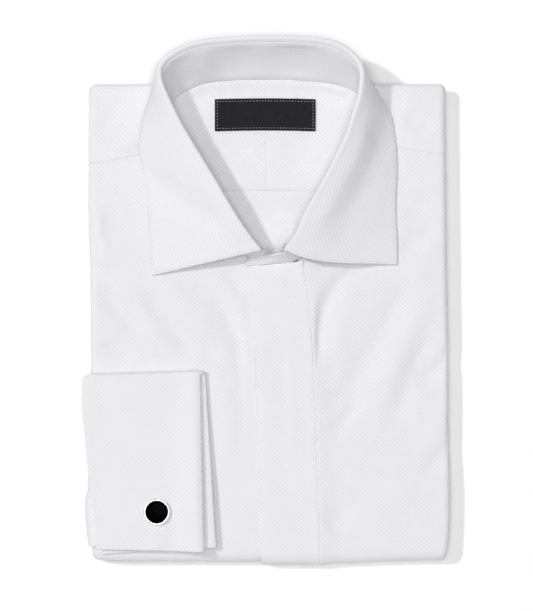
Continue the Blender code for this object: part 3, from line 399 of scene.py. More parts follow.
# Soft folds of the underside, in the same form
UNDER_FOLDS = [
    (0.8, 10, [(-60, -150), (-66, -110), (-80, -64), (-84, -20)]),
    (0.6, 8, [(70, -160), (78, -124), (74, -84)]),
    (0.9, 12, [(96, -20), (84, 30), (60, 74)]),
    (0.7, 9, [(-40, 10), (-52, 56), (-78, 100), (-98, 122)]),
    (0.5, 6, [(52, 90), (66, 118), (72, 140)]),
    (0.5, 7, [(-100, -120), (-110, -84), (-112, -50)]),
]

# Soft folds of the placket, of the pieces inside the neck, and of the cuff's front half
PLACKET_SETTLES = 0.65    # the placket lies this much lower along its folded edge
PLACKET_FOLDS = [
    (0.7, 8, [(-8, 20), (2, 14), (16, 12)]),
    (-0.5, 8, [(-4, 4), (4, -6), (14, -14)]),
    (0.5, 5, [(-12, -20), (-9, -40), (-7, -70)]),
    (0.35, 3, [(15, -22), (16, -60), (17, -120)]),
    (-0.35, 6, [(8, -28), (9, -66), (10, -112)]),
    (-0.4, 8, [(0, -112), (10, -120), (20, -132)]),
]
NECK_FOLDS = [
    (0.6, 9, [(-50, 142), (-20, 149), (14, 149), (44, 143)]),
    (-0.8, 6, [(-34, 114), (-22, 108), (-12, 103)]),
    (-1.0, 9, [(34, 118), (20, 104), (12, 96)]),
    (1.3, 10, [(62, 112), (46, 96), (30, 84)]),
    (1.0, 8, [(-34, 92), (-16, 84), (4, 85), (22, 83)]),
    (-0.7, 7, [(48, 134), (58, 122), (60, 108)]),
    (-1.5, 8, [(-22, 66), (0, 61), (26, 63), (42, 68)]),
    (1.3, 9, [(0, 44), (12, 50), (24, 56)]),
    (0.9, 2.2, [(14, 156), (16, 150), (20, 141)]),
    (0.9, 2.5, [(36, 152), (46, 149), (56, 146)]),
    (0.9, 8, [(-58, 132), (-50, 118), (-40, 104)]),
]
CUFF_FOLDS = [
    (-0.9, 16, [(-126, -76), (-108, -84), (-86, -92), (-62, -92)]),
    (0.7, 14, [(-120, -54), (-92, -60), (-62, -58)]),
    (-0.9, 7, [(-74, -128), (-66, -150), (-58, -168)]),
    (0.8, 7, [(-77, -158), (-76, -166), (-74, -173)]),
    (0.5, 12, [(-112, -128), (-100, -150), (-104, -168)]),
    (-0.5, 9, [(-96, -118), (-84, -126), (-72, -132)]),
    (0.6, 4, [(-53, -58), (-52, -110), (-51, -168)]),
]
BAND_FOLDS = [
    (-1.7, 9, [(-50, 160), (-38, 165.5), (-20, 168), (4, 168.5), (24, 168), (40, 165.5), (50, 160)]),
    (0.9, 7, [(-42, 148), (-46, 180)]),
    (-0.7, 7, [(-56, 144), (-64, 172)]),
    (0.8, 9, [(-2, 150), (-2, 184)]),
    (-0.6, 9, [(20, 150), (20, 184)]),
    (0.6, 8, [(44, 146), (46, 180)]),
    (-0.5, 9, [(-64, 116), (-70, 130)]),
    (0.6, 9, [(-46, 56), (-32, 88)]),
    (-0.5, 9, [(60, 84), (46, 110)]),
]

# Soft folds of the leaf:  height, half width, points: place along the collar, distance from the fold
LEAF_FOLDS = [
    (-2.8, 13, [(100, 58), (82, 46), (66, 39), (50, 31), (33, 22), (14, 11)]),
    (0.5, 14, [(136, 52), (112, 34), (94, 14)]),
    (-0.6, 16, [(40, 62), (22, 40), (14, 18)]),
    (-2.2, 12, [(314, 35), (345, 31), (375, 30), (402, 30), (430, 31)]),
    (2.2, 22, [(322, 2), (350, 3), (375, 6), (402, 9), (430, 14)]),
    (-0.6, 14, [(420, 60), (430, 38), (434, 16)]),
    (-0.5, 6, [(214, 30), (216, 18), (220, 6)]),
    (-0.4, 7, [(258, 32), (254, 20), (252, 8)]),
]

# Fine unevenness of all cloth:  height, wave length, direction in degrees, phase
RIPPLES = [
    (0.055, 31.0, 24, 0.6),
    (0.050, 23.0, 112, 2.1),
    (0.040, 17.0, 63, 4.0),
    (0.035, 13.0, 157, 1.2),
    (0.020, 8.5, 81, 5.1),
    (0.018, 7.1, 10, 3.3),
]

STITCH_PITCH = 1.7
STITCH_LENGTH = 1.2
STITCH_R = 0.17
PLACKET_STITCH_R = 1.6 * STITCH_R
STITCH_IN = 1.4           # edge stitching lies this far in from an edge
STITCH_SIDES = 6
STITCH_SHARES = np.array([0.0, 0.22, 0.5, 0.78, 1.0])      # along a stitch: places of its rings,
STITCH_SWELL = np.array([0.35, 0.9, 1.0, 0.9, 0.35])       # their radii and heights, in radii
STITCH_HEIGHT = np.array([-0.9, 0.25, 0.55, 0.25, -0.9])
SEWN_RIDGE = (0.16, 4.2, 1.6)     # height of the turned-in cloth at a sewn edge, its width, its slope's
SEWN_ROUND = (0.22, 0.9)          # the edge itself drops by this much over this width
SEWN_GROOVE = (0.14, 0.42)        # depth and half width of the groove at the stitches
WEAVE = (0.0033, 0.0030)  # metres between the weave's diamonds, across and along the grain
TWILL = 0.00055           # metres between the label's twill lines

# Darker and lighter colour of each material
COTTON = ((0.735, 0.73, 0.758, 1), (0.815, 0.81, 0.84, 1))
THREAD = ((0.78, 0.78, 0.8, 1), (0.88, 0.88, 0.9, 1))
# painted shade: the same white thread as THREAD, drawn darker so the collar's stitches look shaded in their
# grooves
SHADE_DARKENED_THREAD = ((0.58, 0.58, 0.6, 1), (0.72, 0.72, 0.74, 1))
LABEL_THREAD = ((0.3, 0.3, 0.34, 1), (0.5, 0.5, 0.54, 1))
LABEL_TAPE = ((0.011, 0.011, 0.015, 1), (0.022, 0.022, 0.028, 1))
STEEL = ((0.86, 0.86, 0.87, 1), (0.95, 0.95, 0.96, 1))
ONYX = ((0.0004, 0.0004, 0.0005, 1), (0.0014, 0.0014, 0.0016, 1))
PAPER = ((0.95, 0.95, 0.95, 1), (0.96, 0.96, 0.96, 1))

# Camera, straight above, as far away as a product camera
CAMERA = (0.7, -2.55, 2000.0)
FRAME_HEIGHT = 431.6
SENSOR = 36.0
FLOOR_HALF = 4.0          # metres
FLOOR_Z = -0.0002

# Lights that aim at the origin:  name, place in metres, size, power in watts
LIGHTS = [
    ("key", (-3.76, 1.75, 5.3), 0.48, 168.0),
    ("overhead", (0.0, 0.001, 2.2), 0.8, 20.6),
    ("fill", (0.1, -2.2, 0.36), 0.6, 4.2),
]
WORLD_AROUND = 0.15
WORLD_ABOVE = (0.9, 6)    # strength straight up, and the power of the height with which it dies away
WORLD_LOW = (0.35, 3)     # the same at the horizon
HOOD = (0.955, 0.98)      # heights on the unit sphere between which the light round the camera ends


# ---------------------------------------------------------------- helpers
def read(table, at, column=1):
    """A table's column, read at a place along its first column."""
    rows = np.array(table, float)
    return np.interp(at, rows[:, 0], rows[:, column])


def ease(t):
    """A soft step from 0 to 1."""
    t = np.clip(t, 0, 1)
    return t * t * (3 - 2 * t)


def fade(place, start, run):
    """A soft step that starts at a place and takes a run, which is below 0 where it goes backwards."""
    return ease((place - start) / run)


def mix(first, second, share):
    return first + (second - first) * share


def shifted(grid, normals, height):
    """Points moved along their normals."""
    return grid + np.asarray(height)[..., None] * normals


def unit(vectors):
    return vectors / np.maximum(np.linalg.norm(vectors, axis=-1, keepdims=True), 1e-9)


def smooth_rows(rows, at):
    """A smooth curve through rows of numbers, read at places from 0 to 1 along them."""
    rows = np.array(rows, float)
    slopes = np.gradient(rows, axis=0)
    at = np.asarray(at) * (len(rows) - 1)
    low = np.clip(at.astype(int), 0, len(rows) - 2)
    t = (at - low)[:, None]
    return ((2 * t**3 - 3 * t**2 + 1) * rows[low] + (t**3 - 2 * t**2 + t) * slopes[low]
            + (3 * t**2 - 2 * t**3) * rows[low + 1] + (t**3 - t**2) * slopes[low + 1])


def grid_normals(points):
    """Unit normals of a grid of points, from its rows and columns."""
    along = np.gradient(points, axis=0)
    across = np.gradient(points, axis=1)
    return unit(np.cross(across, along))


def lengths(points):
    """Length along each row of a grid of points, from its first point."""
    steps = np.linalg.norm(np.diff(points, axis=-2), axis=-1)
    zero = np.zeros(steps.shape[:-1] + (1,))
    return np.concatenate([zero, np.cumsum(steps, axis=-1)], axis=-1)


def edge_distances(grid):
    """Distance of each point of a grid to its first and last column and its first and last row."""
    across = lengths(grid)
    down = lengths(grid.transpose(1, 0, 2)).T
    return across, across[:, -1:] - across, down, down[-1:] - down


def spaced(length, step, fine="start end"):
    """Shares from 0 to 1 along a length, closer together near the ends that are fine."""
    start = np.array(EDGE_STEPS if "start" in fine else (0,), float)
    end = length - np.array(EDGE_STEPS if "end" in fine else (0,), float)[::-1]
    count = max(int(round((end[0] - start[-1]) / step)), 1)
    middle = np.linspace(start[-1], end[0], count + 1)[1:-1]
    return np.concatenate([start, middle, end]) / length


def fold_heights(x, y, folds):
    """Height of soft folds, each of which dies away from its line and at its two ends."""
    x, y = np.broadcast_arrays(np.asarray(x, float), np.asarray(y, float))
    total = np.zeros(x.shape)
    for height, width, points in folds:
        points = np.array(points, float)
        runs = np.linalg.norm(np.diff(points, axis=0), axis=1)
        nearest = np.full(x.shape, np.inf)
        place = np.zeros(x.shape)
        done = 0.0
        for start, step, run in zip(points, np.diff(points, axis=0), runs):
            way = ((x - start[0]) * step[0] + (y - start[1]) * step[1]) / run**2
            way = np.clip(way, 0, 1)
            away = np.hypot(x - start[0] - way * step[0], y - start[1] - way * step[1])
            closer = away < nearest
            nearest = np.where(closer, away, nearest)
            place = np.where(closer, (done + way * run) / runs.sum(), place)
            done += run
        ends = ease(3 * place + 0.15) * ease(3 * (1 - place) + 0.15)
        total += height * np.exp(-(nearest / width) ** 2) * ends
    return total


def ripples(x, y):
    total = 0.0
    for height, wave, degrees, phase in RIPPLES:
        way = math.radians(degrees)
        place = x * math.cos(way) + y * math.sin(way)
        total = total + height * np.sin(place * 2 * math.pi / wave + phase)
    return total


def groove(distance, depth, half_width):
    return -depth * np.exp(-(distance / half_width) ** 2)


# ---------------------------------------------------------------- meshes
def add_object(name, data):
    item = bpy.data.objects.new(name, data)
    bpy.context.scene.collection.objects.link(item)
    return item


def finish_mesh(name, mesh, material, replaces):
    mesh.shade_smooth()
    mesh.materials.append(material)
    piece = add_object(name, mesh)
    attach(piece, "root")
    if replaces:
        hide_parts(replaces)
    return piece


def make_mesh(name, points, faces, uv, material, replaces=None):
    """A piece from points in millimetres, its faces turned outwards, with the grain as its UV map."""
    points = (np.asarray(points, float).reshape(-1, 3) + (PACK_SHIFT_X, 0, 0)) * METRES_PER_MM
    mesh = bpy.data.meshes.new(name)
    mesh.from_pydata(points.tolist(), [], [tuple(face) for face in faces])
    work = bmesh.new()
    work.from_mesh(mesh)
    bmesh.ops.recalc_face_normals(work, faces=work.faces)
    work.to_mesh(mesh)
    work.free()
    corners = np.zeros(len(mesh.loops), int)
    mesh.loops.foreach_get("vertex_index", corners)
    layer = mesh.uv_layers.new(name="grain")
    layer.uv.foreach_set("vector", (np.asarray(uv, float).reshape(-1, 2)[corners] * METRES_PER_MM).ravel())
    return finish_mesh(name, mesh, material, replaces)


def quads_of(index, closed=False):
    """Faces between the rows and columns of a grid of point numbers, and round it if it is closed."""
    if closed:
        index = np.concatenate([index, index[:, :1]], axis=1)
    corners = [index[:-1, :-1], index[:-1, 1:], index[1:, 1:], index[1:, :-1]]
    return np.stack(corners, axis=-1).reshape(-1, 4)


def rim_of(rows, columns):
    """Row and column of the points round a grid, and of each one's neighbour inside."""
    rim = [(0, c) for c in range(columns)]
    rim += [(r, columns - 1) for r in range(1, rows)]
    rim += [(rows - 1, c) for c in range(columns - 2, -1, -1)]
    rim += [(r, 0) for r in range(rows - 2, 0, -1)]
    rim = np.array(rim)
    inside = np.clip(rim, 1, [rows - 2, columns - 2])
    return rim, inside


def make_shell(name, face, back, uv, material, slot="shirt_cloth", replaces=None, rim_steps=3):
    """Cloth between two grids of points, with a rounded rim."""
    rows, columns = face.shape[:2]
    quads = quads_of(np.arange(rows * columns).reshape(rows, columns))
    rim, inside = rim_of(rows, columns)
    front, behind = face[tuple(rim.T)], back[tuple(rim.T)]
    middle, half = (front + behind) / 2, (front - behind) / 2
    outward = unit(front - face[tuple(inside.T)]) * np.linalg.norm(half, axis=-1, keepdims=True)
    loops = [middle + math.cos(turn) * half + math.sin(turn) * outward
             for turn in np.linspace(0, math.pi, rim_steps + 2)[1:-1]]
    points = np.concatenate([face.reshape(-1, 3), back.reshape(-1, 3), *loops])
    rim_uv = uv[tuple(rim.T)]
    uvs = np.concatenate([uv.reshape(-1, 2), uv.reshape(-1, 2), *([rim_uv] * rim_steps)])
    flat_rim = rim[:, 0] * columns + rim[:, 1]
    first = 2 * rows * columns
    rings = [flat_rim, *(first + k * len(rim) + np.arange(len(rim)) for k in range(rim_steps)),
             flat_rim + rows * columns]
    sides = [np.stack([a, b, np.roll(b, -1), np.roll(a, -1)], axis=-1) for a, b in zip(rings, rings[1:])]
    faces = np.concatenate([quads, (quads + rows * columns)[:, ::-1], *sides])
    return make_mesh(name, points, faces.tolist(), uvs, material, replaces)


def make_cloth(name, face, normals, thickness, uv, material, **more):
    """A shell whose outer face is the grid."""
    return make_shell(name, face, face - thickness * normals, uv, material, **more)


def grain(grid, across=None):
    """Lengths across and along a grid of points, as its UV map; across can also be given."""
    across = lengths(grid) if across is None else across
    down = lengths(grid.transpose(1, 0, 2)).T
    return np.stack([across, np.broadcast_to(down[:, down.shape[1] // 2][:, None], across.shape)], axis=-1)


def make_loft(name, rings, material, replaces=None):
    """A solid through closed rings of points, with flat ends."""
    rings = np.array(rings, float)
    count, size = rings.shape[:2]
    index = np.arange(count * size).reshape(count, size)
    faces = [index[0].tolist(), index[-1].tolist(), *quads_of(index, closed=True).tolist()]
    uv = np.stack([np.broadcast_to(lengths(rings.transpose(1, 0, 2))[0][:, None], (count, size)),
                   lengths(rings)], axis=-1)
    return make_mesh(name, rings, faces, uv, material, replaces)


def line_inside(grid, normals, side, inset):
    """Points and normals of a line that runs inside one side of a grid of points."""
    if side in ("start", "end"):
        grid, normals = grid.transpose(1, 0, 2), normals.transpose(1, 0, 2)
    if side in ("right", "end"):
        grid, normals = grid[:, ::-1], normals[:, ::-1]
    along = lengths(grid)
    places = [(np.interp(inset, along[row], grid[row, :, k]),
               np.interp(inset, along[row], normals[row, :, k]))
              for row in range(len(grid)) for k in range(3)]
    places = np.array(places).reshape(len(grid), 3, 2)
    return places[:, :, 0], unit(places[:, :, 1])


def edge_lines(grid, normals, *sides, inset=STITCH_IN):
    return [line_inside(grid, normals, side, inset) for side in sides]


def make_stitches(name, lines, material, pitch=STITCH_PITCH,
                  length=STITCH_LENGTH, radius=STITCH_R):
    """Rows of short stitches along lines of points and normals; their ends go into the cloth."""
    turns = (np.arange(STITCH_SIDES) * 2 * math.pi / STITCH_SIDES)[:, None]
    height = (STITCH_HEIGHT * radius)[:, None, None]
    swell = radius * STITCH_SWELL[:, None, None]
    index = np.arange(len(STITCH_SHARES) * STITCH_SIDES).reshape(-1, STITCH_SIDES)
    quads = quads_of(index, closed=True)
    points, faces = [], []
    for line, normals in lines:
        along = lengths(line[None])[0]
        for start in np.arange(pitch / 2, along[-1] - length, pitch):
            at = start + STITCH_SHARES * length
            middle = np.stack([np.interp(at, along, line[:, k]) for k in range(3)], axis=-1)
            up = unit(np.array([np.interp(start, along, normals[:, k]) for k in range(3)]))
            beside = unit(np.cross(middle[-1] - middle[0], up))
            circle = np.cos(turns) * beside + np.sin(turns) * up
            first = len(points) * index.size
            points.append((middle[:, None] + height * up + swell * circle).reshape(-1, 3))
            faces += (first + quads).tolist()
            faces += (first + index[[0, -1]]).tolist()
    points = np.concatenate(points)
    return make_mesh(name, points, faces, points[:, :2], material)


# ---------------------------------------------------------------- the pack's surface
def half_width(side, y):
    return np.where(side < 0, read(SIDES, y, 1), read(SIDES, y, 2))


def fold_axis_y(x):
    return read(BOTTOM_EDGE, x) + FOLD_R


def top_axis_y(x):
    """Where the flat top goes over into the top fold, which rises behind the neck."""
    reach = np.clip(x / NECK_RISE_HALF, -1, 1)
    return TOP_EDGE_Y - SIDE_R + NECK_RISE * np.cos(reach * math.pi / 2) ** 2


def pack_path(x, v, from_y, to_y):
    """Lengthwise line of the pack's outer face: y, z and its normal's y and z.

    from_y and to_y are functions of x, the ends of the flat top. v is -1 to 0 round the top
    fold, 0 to 1 down the flat top, 1 to 2 round the bottom fold, 2 to 3 back up the flat underside,
    and 3 to 4 round the turn of the tail.
    """
    x, v = np.broadcast_arrays(np.asarray(x, float), np.asarray(v, float))
    top_turn = -np.clip(v, -1, 0) * math.pi
    fold_turn = np.clip(v - 1, 0, 1) * math.pi
    tail_turn = np.clip(v - 3, 0, 1) * math.pi
    axis = fold_axis_y(x)
    flat_y = mix(from_y(x), to_y(x), np.clip(v, 0, 1))
    under_y = mix(axis, TAIL_Y, np.clip(v - 2, 0, 1))
    y = np.select([v < 0, v <= 1, v <= 2, v <= 3],
                  [top_axis_y(x) + SIDE_R * np.sin(top_turn), flat_y,
                   axis - FOLD_R * np.sin(fold_turn), under_y], TAIL_Y + TAIL_R * np.sin(tail_turn))
    z = np.select([v < 0, v <= 1, v <= 2, v <= 3],
                  [PACK_TOP - SIDE_R * (1 - np.cos(top_turn)), PACK_TOP + 0 * v,
                   FOLD_R * (1 + np.cos(fold_turn)), 0 * v], TAIL_R * (1 - np.cos(tail_turn)))
    turn = np.select([v < 0, v <= 3], [top_turn, -fold_turn], -math.pi - tail_turn)
    return y, z, np.sin(turn), np.cos(turn)


def side_wrap(u, flat):
    """Cross-section of the pack: x and depth of a point u out from the centre line, and its normal."""
    past = np.clip((abs(u) - flat) / SIDE_R, 0, math.pi)
    lap = np.clip(abs(u) - flat - SIDE_R * math.pi, 0, None)
    x = np.sign(u) * (np.minimum(abs(u), flat) + SIDE_R * np.sin(past) - lap)
    return x, SIDE_R * (1 - np.cos(past)), np.sign(u) * np.sin(past), np.cos(past)


def clear_of_pieces(x, y):
    """1 where the fronts lie free, 0 under the leaf's tips, the cuff and the placket."""
    cuff = fade(x, *CUFF_COVERS[0]) * fade(y, *CUFF_COVERS[1])
    placket = fade(x, *PLACKET_COVERS[0]) * fade(x, *PLACKET_COVERS[1]) * fade(y, *PLACKET_COVERS[2])
    leaf = fade(y, *LEAF_COVERS[0]) * fade(abs(x), *LEAF_COVERS[1])
    return (1 - cuff) * (1 - placket) * (1 - leaf)


def top_relief(x, y):
    """Height of the fronts' and yokes' soft folds above the flat top."""
    share = COVERED_SHARE + (1 - COVERED_SHARE) * clear_of_pieces(x, y)
    return (fold_heights(x, y, TOP_FOLDS) + ripples(x, y)) * share


def in_reach(u):
    """The place across the pack where its lengthwise line is read for a point u."""
    return np.clip(u, -SIDE_REACH, SIDE_REACH)


def pack_surface(u, v, from_y, to_y, offset=0.0, relief=True):
    """Points and normals of cloth on the pack, u across it and v along it."""
    y, z, normal_y, normal_z = pack_path(in_reach(u), v, from_y, to_y)
    flat = half_width(u, y) - SIDE_R
    x, depth, side_x, side_n = side_wrap(u, flat)
    normals = np.stack([side_x, side_n * normal_y, side_n * normal_z], axis=-1)
    points = np.stack([x, y - depth * normal_y, z - depth * normal_z], axis=-1)
    raised = offset + np.zeros(x.shape)
    if relief:
        top_share = fade(v, *TOP_BEGINS) * fade(v, *TOP_ENDS)
        under_share = fade(v, *UNDER_BEGINS) * fade(v, *UNDER_ENDS)
        laid = np.clip(side_n, 0, 1)
        raised = raised + top_relief(x, y) * top_share * laid
        under = fold_heights(x, y, UNDER_FOLDS) + ripples(x, y) + UNDER_IN
        raised = raised - under * under_share * laid
        long, high, height, drop = SIDE_RIPPLES
        raised = raised + (1 - laid) * (ripples(points[..., 1] * long, z * high) * height - drop)
    return points + raised[..., None] * normals, normals


def side_columns(v, side, from_y, to_y, turn):
    """Places across the pack of the columns that go round one of its sides, lap first."""
    y = pack_path(side * SIDE_REACH, v, from_y, to_y)[0]
    flat = half_width(np.full_like(y, side), y) - SIDE_R
    turned_by = np.linspace(1, 0, WRAP_STEPS)[None, :] * turn[:, None]
    lap = SIDE_LAP * (turn >= math.pi)
    columns = flat[:, None] + turned_by * SIDE_R
    laps = [columns[:, :1] + lap[:, None] * share for share in (1.0, 0.66, 0.33)]
    return side * np.concatenate([*laps, columns], axis=1)


# ---------------------------------------------------------------- fronts, placket, yokes
def neck_seam(count=400):
    return smooth_rows([row[:2] for row in COLLAR], np.linspace(0, 1, count))


def placket_edges(y, v):
    """x of the placket's two edges, which run on straight past the bottom fold."""
    y = np.where(v < 1, np.maximum(y, PLACKET_STRAIGHT_Y), PLACKET_STRAIGHT_Y)
    return read(PLACKET, y, 1), read(PLACKET, y, 2)


def front_edge(side, v, from_y):
    """x of a front's inner edge, along the neck and then down the middle, for each row."""
    seam = neck_seam()
    seam = seam[(seam[:, 0] * side > 0) & (seam[:, 1] > NECK_FRONT_Y) & (seam[:, 1] < SHOULDER_TOP_Y)]
    seam = seam[np.argsort(seam[:, 1])]
    x = np.full(len(v), side * EDGE_START_X)
    for _ in range(EDGE_ROUNDS):
        y = pack_path(x, v, from_y, fold_axis_y)[0]
        below = placket_edges(y, v)[1] if side > 0 else np.full_like(y, UNDER_LAP_X)
        beside = np.interp(y, seam[:, 1], seam[:, 0])
        x = np.where((v < 1) & (y > NECK_FRONT_Y), beside, below)
    return x


def placket_offset(v):
    """How far the placket stands above the fronts: a full layer on top, none where it rests."""
    turn = np.clip(v - 1, 0, 1)
    return PLY * (1 - turn) + FOLD_DROOP * np.sin(turn * math.pi)


def panel_rows(length, step):
    """Places along the pack of a panel's rows."""
    return np.concatenate([
        spaced(length, step, "start")[:-1], np.linspace(1, 2, FOLD_ROWS)[:-1],
        np.linspace(2, 3, UNDER_ROWS)[:-1], [3 - CORNER_SHARE], np.linspace(3, 4, TAIL_ROWS)])


def front_from_y(x):
    return read(SHOULDER, x) - SEAM_GAP + LAP


def left_front_columns(v, inner):
    """Columns of the left front that dip under the placket's right edge."""
    return [inner + step for step in RAMP_COLUMNS]


def right_front_columns(v, inner):
    """Columns of the right front near the placket's left edge and on under it."""
    y = pack_path(PLACKET_SIDES_X[0], v, front_from_y, fold_axis_y)[0]
    dip = np.minimum(placket_edges(y, v)[0][:, None] - PLACKET_DIP, inner - 2 * PLACKET_DIP)
    columns = [dip + (PLACKET_DIP - SEAM_GAP) * share for share in np.linspace(0, 1, 8)]
    return columns + [mix(columns[-1], inner, share) for share in (0.25, 0.5, 0.75, 1)]


def front_grid(side):
    """Outer face, normals and grain of one front."""
    v = panel_rows(*FRONT_ROWS)
    inner = front_edge(side, v, front_from_y)[:, None]
    turn = np.where(v < 3, math.pi, TAIL_CORNER_TURN)
    wrap = side_columns(v, side, front_from_y, fold_axis_y, turn)
    near_edge = (left_front_columns if side > 0 else right_front_columns)(v, inner)
    flat = mix(wrap[:, -1:], near_edge[0], np.linspace(0, 1, FRONT_COLUMNS)[None, 1:-1])
    u = np.concatenate([wrap, flat, *near_edge], axis=1)
    v = np.broadcast_to(v[:, None], u.shape)
    y = pack_path(in_reach(u), v, front_from_y, fold_axis_y)[0]
    past_seam = (y - read(SHOULDER, in_reach(u)) + SEAM_GAP + LAP_STEP * 0.7) / LAP_STEP
    offset = -LAP_DROP * ease(past_seam) * (v < 1)
    if side > 0:
        below_neck = ease((RAMP_TOP_Y[0] - y) / (RAMP_TOP_Y[0] - RAMP_TOP_Y[1]))
        below_neck = np.where(v < 1, below_neck, 1)
        ramp = 1 - ease((u - inner) / RAMP)
        under = ease((inner + LAP_STEP * 0.7 - u) / LAP_STEP)
        offset = offset + placket_offset(v) * ramp * below_neck - LAP_DROP * under * below_neck
    else:
        dip = near_edge[0]
        offset = offset - PLY * np.clip(v - 1, 0, 1) * ease((u - dip) / (PLACKET_DIP - SEAM_GAP))
    grid, normals = pack_surface(u, v, front_from_y, fold_axis_y, offset)
    return grid, normals, grain(grid, u)


def strip_relief(distance):
    """Height of a sewn edge: a soft ridge over the turned-in cloth and a groove for the stitches."""
    height, width, slope = SEWN_RIDGE
    drop, over = SEWN_ROUND
    ridge = height * (1 - ease((distance - width) / slope))
    return ridge - drop * (1 - ease(distance / over)) ** 2 + groove(distance - STITCH_IN, *SEWN_GROOVE)


def placket_from_y(x):
    return read(PLACKET_TOP, x)


def placket_grid():
    """Outer face, normals and grain of the fly placket."""
    v = panel_rows(*PLACKET_ROWS)
    edges = [placket_edges(pack_path(x, v, placket_from_y, fold_axis_y)[0], v) for x in PLACKET_SIDES_X]
    left, right = edges[0][0][:, None], edges[1][1][:, None] + PLACKET_OVER
    u = mix(left, right, spaced(*PLACKET_COLUMNS))
    v = np.broadcast_to(v[:, None], u.shape)
    y = pack_path(u, v, placket_from_y, fold_axis_y)[0]
    soft = (fold_heights(u, y, PLACKET_FOLDS) + ripples(u, y)) * (v < 1)
    sewn = strip_relief(right - u) + 0.5 * strip_relief(u - left)
    on_table = fade(v, *UNDER_BEGINS)
    settled = -PLACKET_SETTLES * (1 - ease((u - left) / PLACKET_DIP)) * (1 - on_table)
    offset = placket_offset(v) + (soft + sewn) * (1 - on_table) - PLACKET_IN * on_table + settled
    grid, normals = pack_surface(u, v, placket_from_y, fold_axis_y, offset, relief=False)
    return grid, normals, grain(grid, u)


def yoke_grid(side):
    """Outer face, normals and grain of one side of the outer yoke, over the top fold."""
    v = np.concatenate([np.linspace(-1, 0, TOP_TURN_ROWS), [CORNER_SHARE, 4 * CORNER_SHARE],
                        0.08 + 0.92 * spaced(*YOKE_ROWS, "end")])
    seam = neck_seam()
    seam = seam[(seam[:, 0] * side > 0) & (seam[:, 1] > SHOULDER_LOW_Y)]
    seam = seam[np.argsort(abs(seam[:, 0]))]
    widest = abs(seam[:, 0]).max() + NECK_STEP

    def to_y(x):
        beside = np.interp(abs(x), abs(seam[:, 0]), np.maximum.accumulate(seam[::-1, 1])[::-1])
        return np.where(abs(x) > widest, read(SHOULDER, x), beside)

    turn = np.where(v <= 0, YOKE_CORNER_TURN, math.pi)
    wrap = side_columns(v, side, top_axis_y, to_y, turn)
    beside_neck = side * (widest + NECK_STEP / 2)
    wide = mix(wrap[:, -1:], beside_neck, np.linspace(0, 1, YOKE_COLUMNS)[None, 1:])
    reach = (widest - NECK_STEP / 2) * (1 - spaced(*YOKE_NECK_COLUMNS, "end")) + SEAM_GAP / 4
    close = side * np.broadcast_to(reach[None, :], (len(v), len(reach)))
    u = np.concatenate([wrap, wide, close], axis=1)
    v = np.broadcast_to(v[:, None], u.shape)
    near = in_reach(u)
    to_seam = pack_path(near, v, top_axis_y, to_y)[0] - to_y(near)
    sewn = (strip_relief(to_seam) * (abs(near) > widest)) * (v > 0)
    grid, normals = pack_surface(u, v, top_axis_y, to_y, sewn + groove(u, *SPLIT_GROOVE))
    return grid, normals, grain(grid, u)


# ---------------------------------------------------------------- inside the neck
def neck_x(side, y):
    """x of the neck seam's inner face on one side, at each y."""
    seam = neck_seam(1200)
    back = seam[:, 1].argmax()
    half = seam[:back] if side < 0 else seam[back:][::-1]
    order = np.argsort(half[:, 1])
    return np.interp(y, half[order, 1], half[order, 0]) - side * NECK_FACE


def neck_grid(low_y, high_y, left, right, shares):
    """Face and normals of a piece inside the neck; it rises to the band's foot round its edge."""
    y = mix(low_y, high_y, shares)
    x = mix(left(y)[:, None], right(y)[:, None], spaced(*NECK_COLUMNS))
    y = np.broadcast_to(y[:, None], x.shape)
    seam = neck_seam(600)
    away = np.sqrt(((x[..., None] - seam[:, 0]) ** 2 + (y[..., None] - seam[:, 1]) ** 2).min(axis=-1))
    rise = (1 - fade(away, STRIP, NECK_CLIMB_RUN)) * fade(y, *NECK_CLIMB_BEGINS)
    height = PACK_TOP - INNER_DEPTH + NECK_CLIMB * rise
    height = height + (fold_heights(x, y, NECK_FOLDS) + ripples(x, y)) * fade(y, *NECK_FOLDS_BEGIN)
    grid = np.stack([x, y, height], axis=-1)
    return grid, grid_normals(grid)


# ---------------------------------------------------------------- collar
def slanted(out, degrees):
    """Way that goes outwards and down at an angle."""
    return math.cos(math.radians(degrees)) * out - math.sin(math.radians(degrees)) * UP


def collar_frame(row):
    """Seam, fold and edge points of a collar row, its rise, the way over the fold and both slopes."""
    seam = np.array([row[0], row[1], BAND_FOOT_Z])
    fold = np.array(row[2:5])
    edge = np.array(row[5:8])
    out = np.array([math.cos(math.radians(row[8])), math.sin(math.radians(row[8])), 0])
    rise = unit(fold - seam)
    over = unit(out - out.dot(rise) * rise)
    return seam, fold, edge, rise, over, slanted(out, row[9]), slanted(out, row[10])


def leaf_section(row, fall_shares):
    """Points across the leaf: up from the band, over the fold line and down to its edge."""
    seam, fold, edge, rise, over, leave, settle = collar_frame(row)
    middle = fold + ROLL_R * over
    turn = math.atan2(leave.dot(over), leave.dot(rise))
    points = [fold - ROLL_RISE * rise, fold - ROLL_RISE / 2 * rise]
    for angle in np.linspace(0, turn, LEAF_ROLL_STEPS):
        points.append(middle - ROLL_R * math.cos(angle) * over + ROLL_R * math.sin(angle) * rise)
    start = points[-1]
    reach = np.linalg.norm(edge - start) / 3
    first, second = start + reach * leave, edge - reach * settle
    for t in fall_shares:
        sag = row[11] * SAG_SHARE * t * (1 - t)**2
        points.append((1 - t)**3 * start + 3 * t * (1 - t)**2 * first
                      + 3 * t**2 * (1 - t) * second + t**3 * edge - (0, sag, 0))
    return points


def along_and_down(grid, down):
    """Grain of a grid whose rows cross the collar: length along its middle line, and down."""
    along = lengths(grid[:, 8:9].transpose(1, 0, 2))[0]
    return np.stack([np.broadcast_to(along[:, None], down.shape), down], axis=-1)


